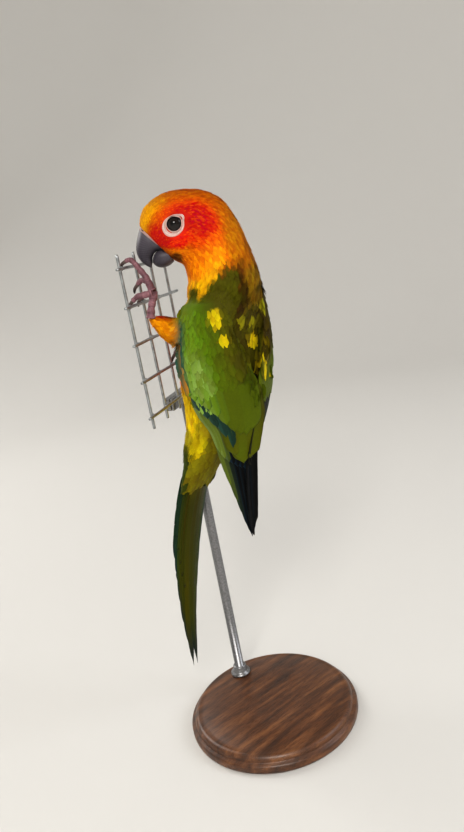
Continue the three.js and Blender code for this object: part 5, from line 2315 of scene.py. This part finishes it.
@dataclass(frozen=True)
class WireMesh:
    """The cut piece of welded wire: straight bars, with a weld bead at each crossing."""

    form: MeshForm = MESH
    bead_mm: float = 1.25

    def bars(self) -> Piece:
        """Build the rows, a little uneven, and the columns."""
        form = self.form
        side = form.column_side(form.columns - 1) + form.end
        low, high = form.row_height(form.rows - 1) - form.end, form.top_row + form.end
        rows = [[(form.layer, s, form.row_height(r)) for s in (-side, side)] for r in range(form.rows)]
        columns = [[(-form.layer, form.column_side(c), h) for h in (low, high)] for c in range(form.columns)]
        shells = []
        for number, (a, b) in enumerate(rows + columns):
            share = np.linspace(0.0, 1.0, 60)
            path = np.outer(1.0 - share, form.point(*a)) + np.outer(share, form.point(*b))
            path[:, 2] += 0.06 * MM * np.sin(share * 17.0 + number) * (number < form.rows)
            radii = np.full(60, form.wire_radius * MM)
            radii[[0, -1]] *= 0.86
            shells.append(tube(path, radii, 20))
        piece = new_piece("wire_bars", *joined(shells))
        outward(piece.data)
        return piece

    def beads(self) -> bpy.types.NodeTree:
        """Build the tree that joins uneven beads of weld to the bars."""
        inputs = (("Bars", "Object"), ("Radius", "Float"), ("Material", "Material"))
        bench, given = new_group("weld_beads", inputs)
        ball = bench.add("GeometryNodeMeshIcoSphere", inputs={"Radius": given["Radius"], "Subdivisions": 3})
        limits = {0: (0.8, 0.8, 0.7), 1: (1.05, 1.05, 1.0), "Seed": 2}
        size = bench.add("FunctionNodeRandomValue", {"data_type": "FLOAT_VECTOR"}, limits)
        planted = bench.add("GeometryNodeInstanceOnPoints", inputs={
            "Points": given["Geometry"], "Instance": ball.outputs[0], "Scale": size.outputs[0],
        })
        real = bench.add("GeometryNodeRealizeInstances", inputs={0: planted.outputs[0]})
        bars = bench.add("GeometryNodeObjectInfo", inputs={"Object": given["Bars"]}).outputs["Geometry"]
        both = bench.add("GeometryNodeJoinGeometry", inputs={0: real.outputs[0]})
        bench.tree.links.new(bars, both.inputs[0])
        return end_group(bench, both.outputs[0], given["Material"])

    def build(self, material: Material) -> None:
        """Build the bars and plant a bead at each crossing."""
        form, bars = self.form, self.bars()
        crossings = [form.point(0.0, form.column_side(column), form.row_height(row))
                     for row in range(form.rows) for column in range(form.columns)]
        values = {"Bars": bars, "Radius": self.bead_mm * MM, "Material": material}
        places = new_piece("bead_places", np.array(crossings), [])
        piece = run_group(places, self.beads(), values, "wire_mesh")
        bpy.data.objects.remove(bars)
        piece.data.shade_smooth()
        rows = [f"perch_wire_row_{n + 1}" for n in range(form.rows)]
        columns = [f"perch_wire_column_{n + 1}" for n in range(form.columns)]
        declare(piece, None, (*rows, *columns))


def lathe(name: str, profile: Sequence[tuple], centre: Array, sides: int = 96) -> Piece:
    """Turn a profile about a vertical axis.

    Args:
        name: The piece's name.
        profile: Pairs of a radius and a height, in millimetres, from the bottom up.
        centre: The axis, in millimetres.
        sides: How many sides the piece has.

    Returns:
        The turned piece.
    """
    angles = np.arange(sides) / sides * math.tau
    radius, height = (np.array(v)[:, None] for v in zip(*profile))
    rings = np.stack(np.broadcast_arrays(
        radius * np.cos(angles) + centre[0], radius * np.sin(angles) + centre[1], height
    ), 2)
    faces = grid_faces(len(profile) - 1, sides)
    faces.append(tuple(reversed(range(sides))))
    faces.append(tuple((len(profile) - 1) * sides + s for s in range(sides)))
    return new_piece(name, rings.reshape(-1, 3) * MM, faces)


@dataclass(frozen=True)
class Stand:
    """The display stand: a turned base, a rod in a ferrule and a clamp with two screws."""

    radius: float = 52.0
    height: float = 10.0
    rod_radius: float = 3.0
    rod_side: float = -30.0
    rod_near: float = -5.8
    rod_top: float = 200.5
    clamp_bottom: float = 200.8
    clamp_size: tuple = (30.0, 6.4, 7.0)

    def build(self, wood: Material, metal: Material) -> None:
        """Build base, rod and clamp."""
        r = self.radius
        edge = [(r - 2.0, 0.0), (r - 0.4, 0.5), (r, 1.6), (r, 4.4), (r - 0.7, 5.4), (r - 2.2, 5.8)]
        turns = np.linspace(0.1, math.pi / 2.0, 9)
        rim = [(r - 2.5, 6.3)]
        rim += [(r - 2.5 - 3.2 * (1.0 - math.cos(a)), 6.3 + 3.4 * math.sin(a)) for a in turns]
        flat = [(r - 8.0, 9.7), (r - 8.6, 9.95), (20.0, self.height), (0.5, self.height)]
        base = lathe("base_turned", edge + rim + flat, np.zeros(2), 144)
        outward(base.data)
        declare(base, wood, ("stand_base",))
        r = self.rod_radius
        ferrule = [(r - 0.4, 10.02), (r + 3.2, 10.02), (r + 3.5, 10.3), (r + 3.5, 11.2), (r + 2.4, 11.8),
                   (r + 1.6, 12.8), (r + 1.3, 15.6), (r + 0.9, 16.2), (r, 16.4)]
        shaft = [(r, 100.0), (r, self.rod_top - 0.4), (r - 0.4, self.rod_top)]
        foot = MESH.point(self.rod_near, self.rod_side, 0.0) / MM
        rod = lathe("rod_and_ferrule", ferrule + shaft, foot[:2], 64)
        outward(rod.data)
        declare(rod, metal, ("stand_rod",))
        self.clamp(metal)

    def clamp(self, metal: Material) -> None:
        """Build the clamp as two jaws with rounded edges and two screw heads."""
        work = bmesh.new()
        wide, deep, tall = self.clamp_size
        middle = (self.rod_side - MESH.pitch / 2.0) / 2.0
        away, along = level_axes(MESH.turn_deg)
        towards = -away

        def block(centre: Array, size: tuple, round_mm: float) -> None:
            """Add a rounded block."""
            made = bmesh.ops.create_cube(work, size=1.0)["verts"]
            for vertex in made:
                offset = sum(axis * c * s * MM for axis, c, s in zip((along, towards, UP), vertex.co, size))
                vertex.co = Vector(centre + offset)
            edges = list(dict.fromkeys(e for v in made for e in v.link_edges))
            bmesh.ops.bevel(work, geom=edges, offset=round_mm * MM, segments=3, profile=0.6, affect="EDGES")

        height = self.clamp_bottom + tall / 2.0
        block(MESH.point(self.rod_near - 0.9, middle, height), (wide, deep - 2.0, tall), 0.7)
        block(MESH.point(self.rod_near + deep / 2.0 - 0.75, middle, height), (wide, 1.5, tall), 0.4)
        for screw in (-1, 1):
            spot = MESH.point(self.rod_near - deep / 2.0 + 0.1, middle + screw * 9.5, height)
            for reach, size in ((0.0, 2.1), (0.35, 1.9), (0.55, 1.3)):
                radius = size * MM
                ring = bmesh.ops.create_cone(
                    work, cap_ends=True, segments=32, radius1=radius, radius2=radius, depth=0.5 * MM
                )
                for vertex in ring["verts"]:
                    x, y, z = vertex.co
                    vertex.co = Vector(spot + along * x + UP * y + towards * (z - reach * MM))
        piece = new_piece("clamp_jaws", np.zeros((0, 3)), [])
        bmesh.ops.recalc_face_normals(work, faces=work.faces)
        work.to_mesh(piece.data)
        work.free()
        declare(piece, metal, ("stand_clamp",))


@dataclass(frozen=True)
class Studio:
    """A pale floor, soft lights and a camera that looks from the photo's side."""

    focal_px: float = 696.0
    frame_px: float = 832.0
    sensor_mm: float = 36.0
    lit_point: tuple = (0.0, 0.0, 0.2)
    sky_power: float = 0.55
    exposure: float = -0.45
    place_mm: tuple = (209.8, 313.6, 289.8)
    side: tuple = (-0.8192, 0.5736, 0.0)
    front: tuple = (-0.5736, -0.8192, 0.0)
    photo_right: tuple = (0.9825, -0.0459, -0.1802)
    photo_down: tuple = (-0.1859, -0.2426, -0.9521)
    photo_ahead: tuple = (0.0, 0.9690, -0.2469)

    def build(self) -> None:
        """Build floor, lights, world and camera."""
        scene = bpy.context.scene
        turns = np.linspace(0.0, math.pi / 2.0, 16)
        bend = [(950.0 + 750.0 * math.sin(a), 750.0 * (1.0 - math.cos(a))) for a in turns]
        floor = lathe("floor", [(1.0, 0.0), (500.0, 0.0)] + bend + [(1700.0, 1900.0)], np.zeros(2), 96)
        floor.data.flip_normals()
        bench = Surface("pale_floor", Gloss(roughness=0.85, specular=0.2))
        bench.shader.inputs["Base Color"].default_value = (0.72, 0.71, 0.69, 1.0)
        floor.data.materials.append(bench.material)
        scene.world = bpy.data.worlds.new("soft_room")
        scene.world.use_nodes = True
        sky = scene.world.node_tree.nodes["Background"]
        sky.inputs[0].default_value = (0.86, 0.9, 1.0, 1.0)
        sky.inputs[1].default_value = self.sky_power
        for name, place, size, power, tint in (
            ("key", (0.75, 0.85, 1.0), 0.5, 15.0, (1.0, 0.97, 0.92)),
            ("fill", (-0.8, 0.9, 0.85), 0.6, 6.5, (0.92, 0.95, 1.0)),
            ("front", (0.3, -1.0, 0.9), 0.7, 9.0, (1.0, 0.98, 0.95)),
        ):
            lamp = bpy.data.lights.new(name, "AREA")
            lamp.size = size
            lamp.energy = power
            lamp.color = tint
            light = bpy.data.objects.new(name, lamp)
            light.location = place
            aim = Vector(self.lit_point) - Vector(place)
            light.rotation_euler = aim.to_track_quat("-Z", "Y").to_euler()
            scene.collection.objects.link(light)
        self.camera()
        scene.view_settings.view_transform = "Standard"
        scene.view_settings.look = "Medium High Contrast"
        scene.view_settings.exposure = self.exposure

    def camera(self) -> None:
        """Set the camera from the photo's fitted axes."""
        axes = np.array([self.side, self.front, UP])
        right, down, forward = np.array([self.photo_right, self.photo_down, self.photo_ahead]) @ axes
        right = unit(right - forward * (right @ forward))
        data = bpy.data.cameras.new("photo_side")
        data.sensor_fit = "VERTICAL"
        data.sensor_height = self.sensor_mm
        data.lens = self.focal_px / self.frame_px * self.sensor_mm
        data.clip_start = 0.01
        camera = bpy.data.objects.new("photo_side", data)
        turned = np.stack([right, -down, -forward], 1)
        rows = [[*turn.tolist(), place * MM] for turn, place in zip(turned, self.place_mm)]
        camera.matrix_world = Matrix(rows + [[0, 0, 0, 1]])
        bpy.context.scene.collection.objects.link(camera)
        bpy.context.scene.camera = camera


def paint_frame(nodes: dict, finish: Material) -> None:
    """Give every frame node a procedural material, also those that other pieces stand for.

    Args:
        nodes: The frame's objects by name.
        finish: The plain finish.
    """
    for node in nodes.values():
        for held in node.material_slots:
            held.material = finish


def main() -> None:
    """Build the model and its studio."""
    logging.basicConfig(level=logging.INFO, format="%(name)s: %(message)s")
    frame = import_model()
    skin = Skin(Markings())
    declare(skin.build(frame["nodes"]), SkinFinish().build(), FLESH)
    soft = PlumageFinish("plumage_soft", barbs=9.0, slant=3.0, relief_mm=0.03, root_shade=0.88).build()
    firm = PlumageFinish("plumage_firm").build()
    sleek = {"barbs": 64.0, "slant": 14.0, "fringe": 0.04, "relief_mm": 0.07, "roughness": 0.5}
    long = PlumageFinish("plumage_long", **sleek).build()
    templates = {kind: VaneTemplate(kind, 0.13 if kind is FLUFFY else 0.1).build() for kind in VaneKind}
    coat = CoatMaker(skin, templates, {"soft": soft, FIRM: firm})
    for tract in TRACTS:
        coat.plant(tract)
    for template in templates.values():
        bpy.data.objects.remove(template)
    for side, name in SIDES:
        WingFeathers(side, name).build(long)
    TailFeathers().build(long)
    eye = TintedFinish("eye_gloss", Gloss(roughness=0.06, specular=0.45), 300.0, 0.0, 0.1).build()
    bare = TintedFinish("bare_skin", Gloss(roughness=0.55, specular=0.4, subsurface=0.15)).build()
    polish = Gloss(roughness=0.46, specular=0.28, coat=0.06, coat_roughness=0.3)
    horn = TintedFinish("horn", polish, 900.0, 0.05).build()
    scale = TintedFinish("foot_scales", Gloss(roughness=0.55, specular=0.4), 2200.0, 0.05).build()
    for side, name in SIDES:
        one = Eye(side, name)
        one.ball(eye)
        one.lids(skin, bare)
    UPPER_BILL.build(horn)
    UPPER_BILL.cere(bare)
    LOWER_BILL.build(horn)
    for leg in (LEFT_LEG, RIGHT_LEG):
        Foot(leg).build(scale, horn)
    WireMesh().build(MetalFinish("galvanised_wire", linear(178, 182, 184)).build())
    steel = MetalFinish("brushed_steel", linear(150, 150, 152), 0.32, 900.0).build()
    Stand().build(WoodFinish().build(), steel)
    paint_frame(frame["nodes"], steel)
    Studio().build()


if __name__ == "__main__":
    main()
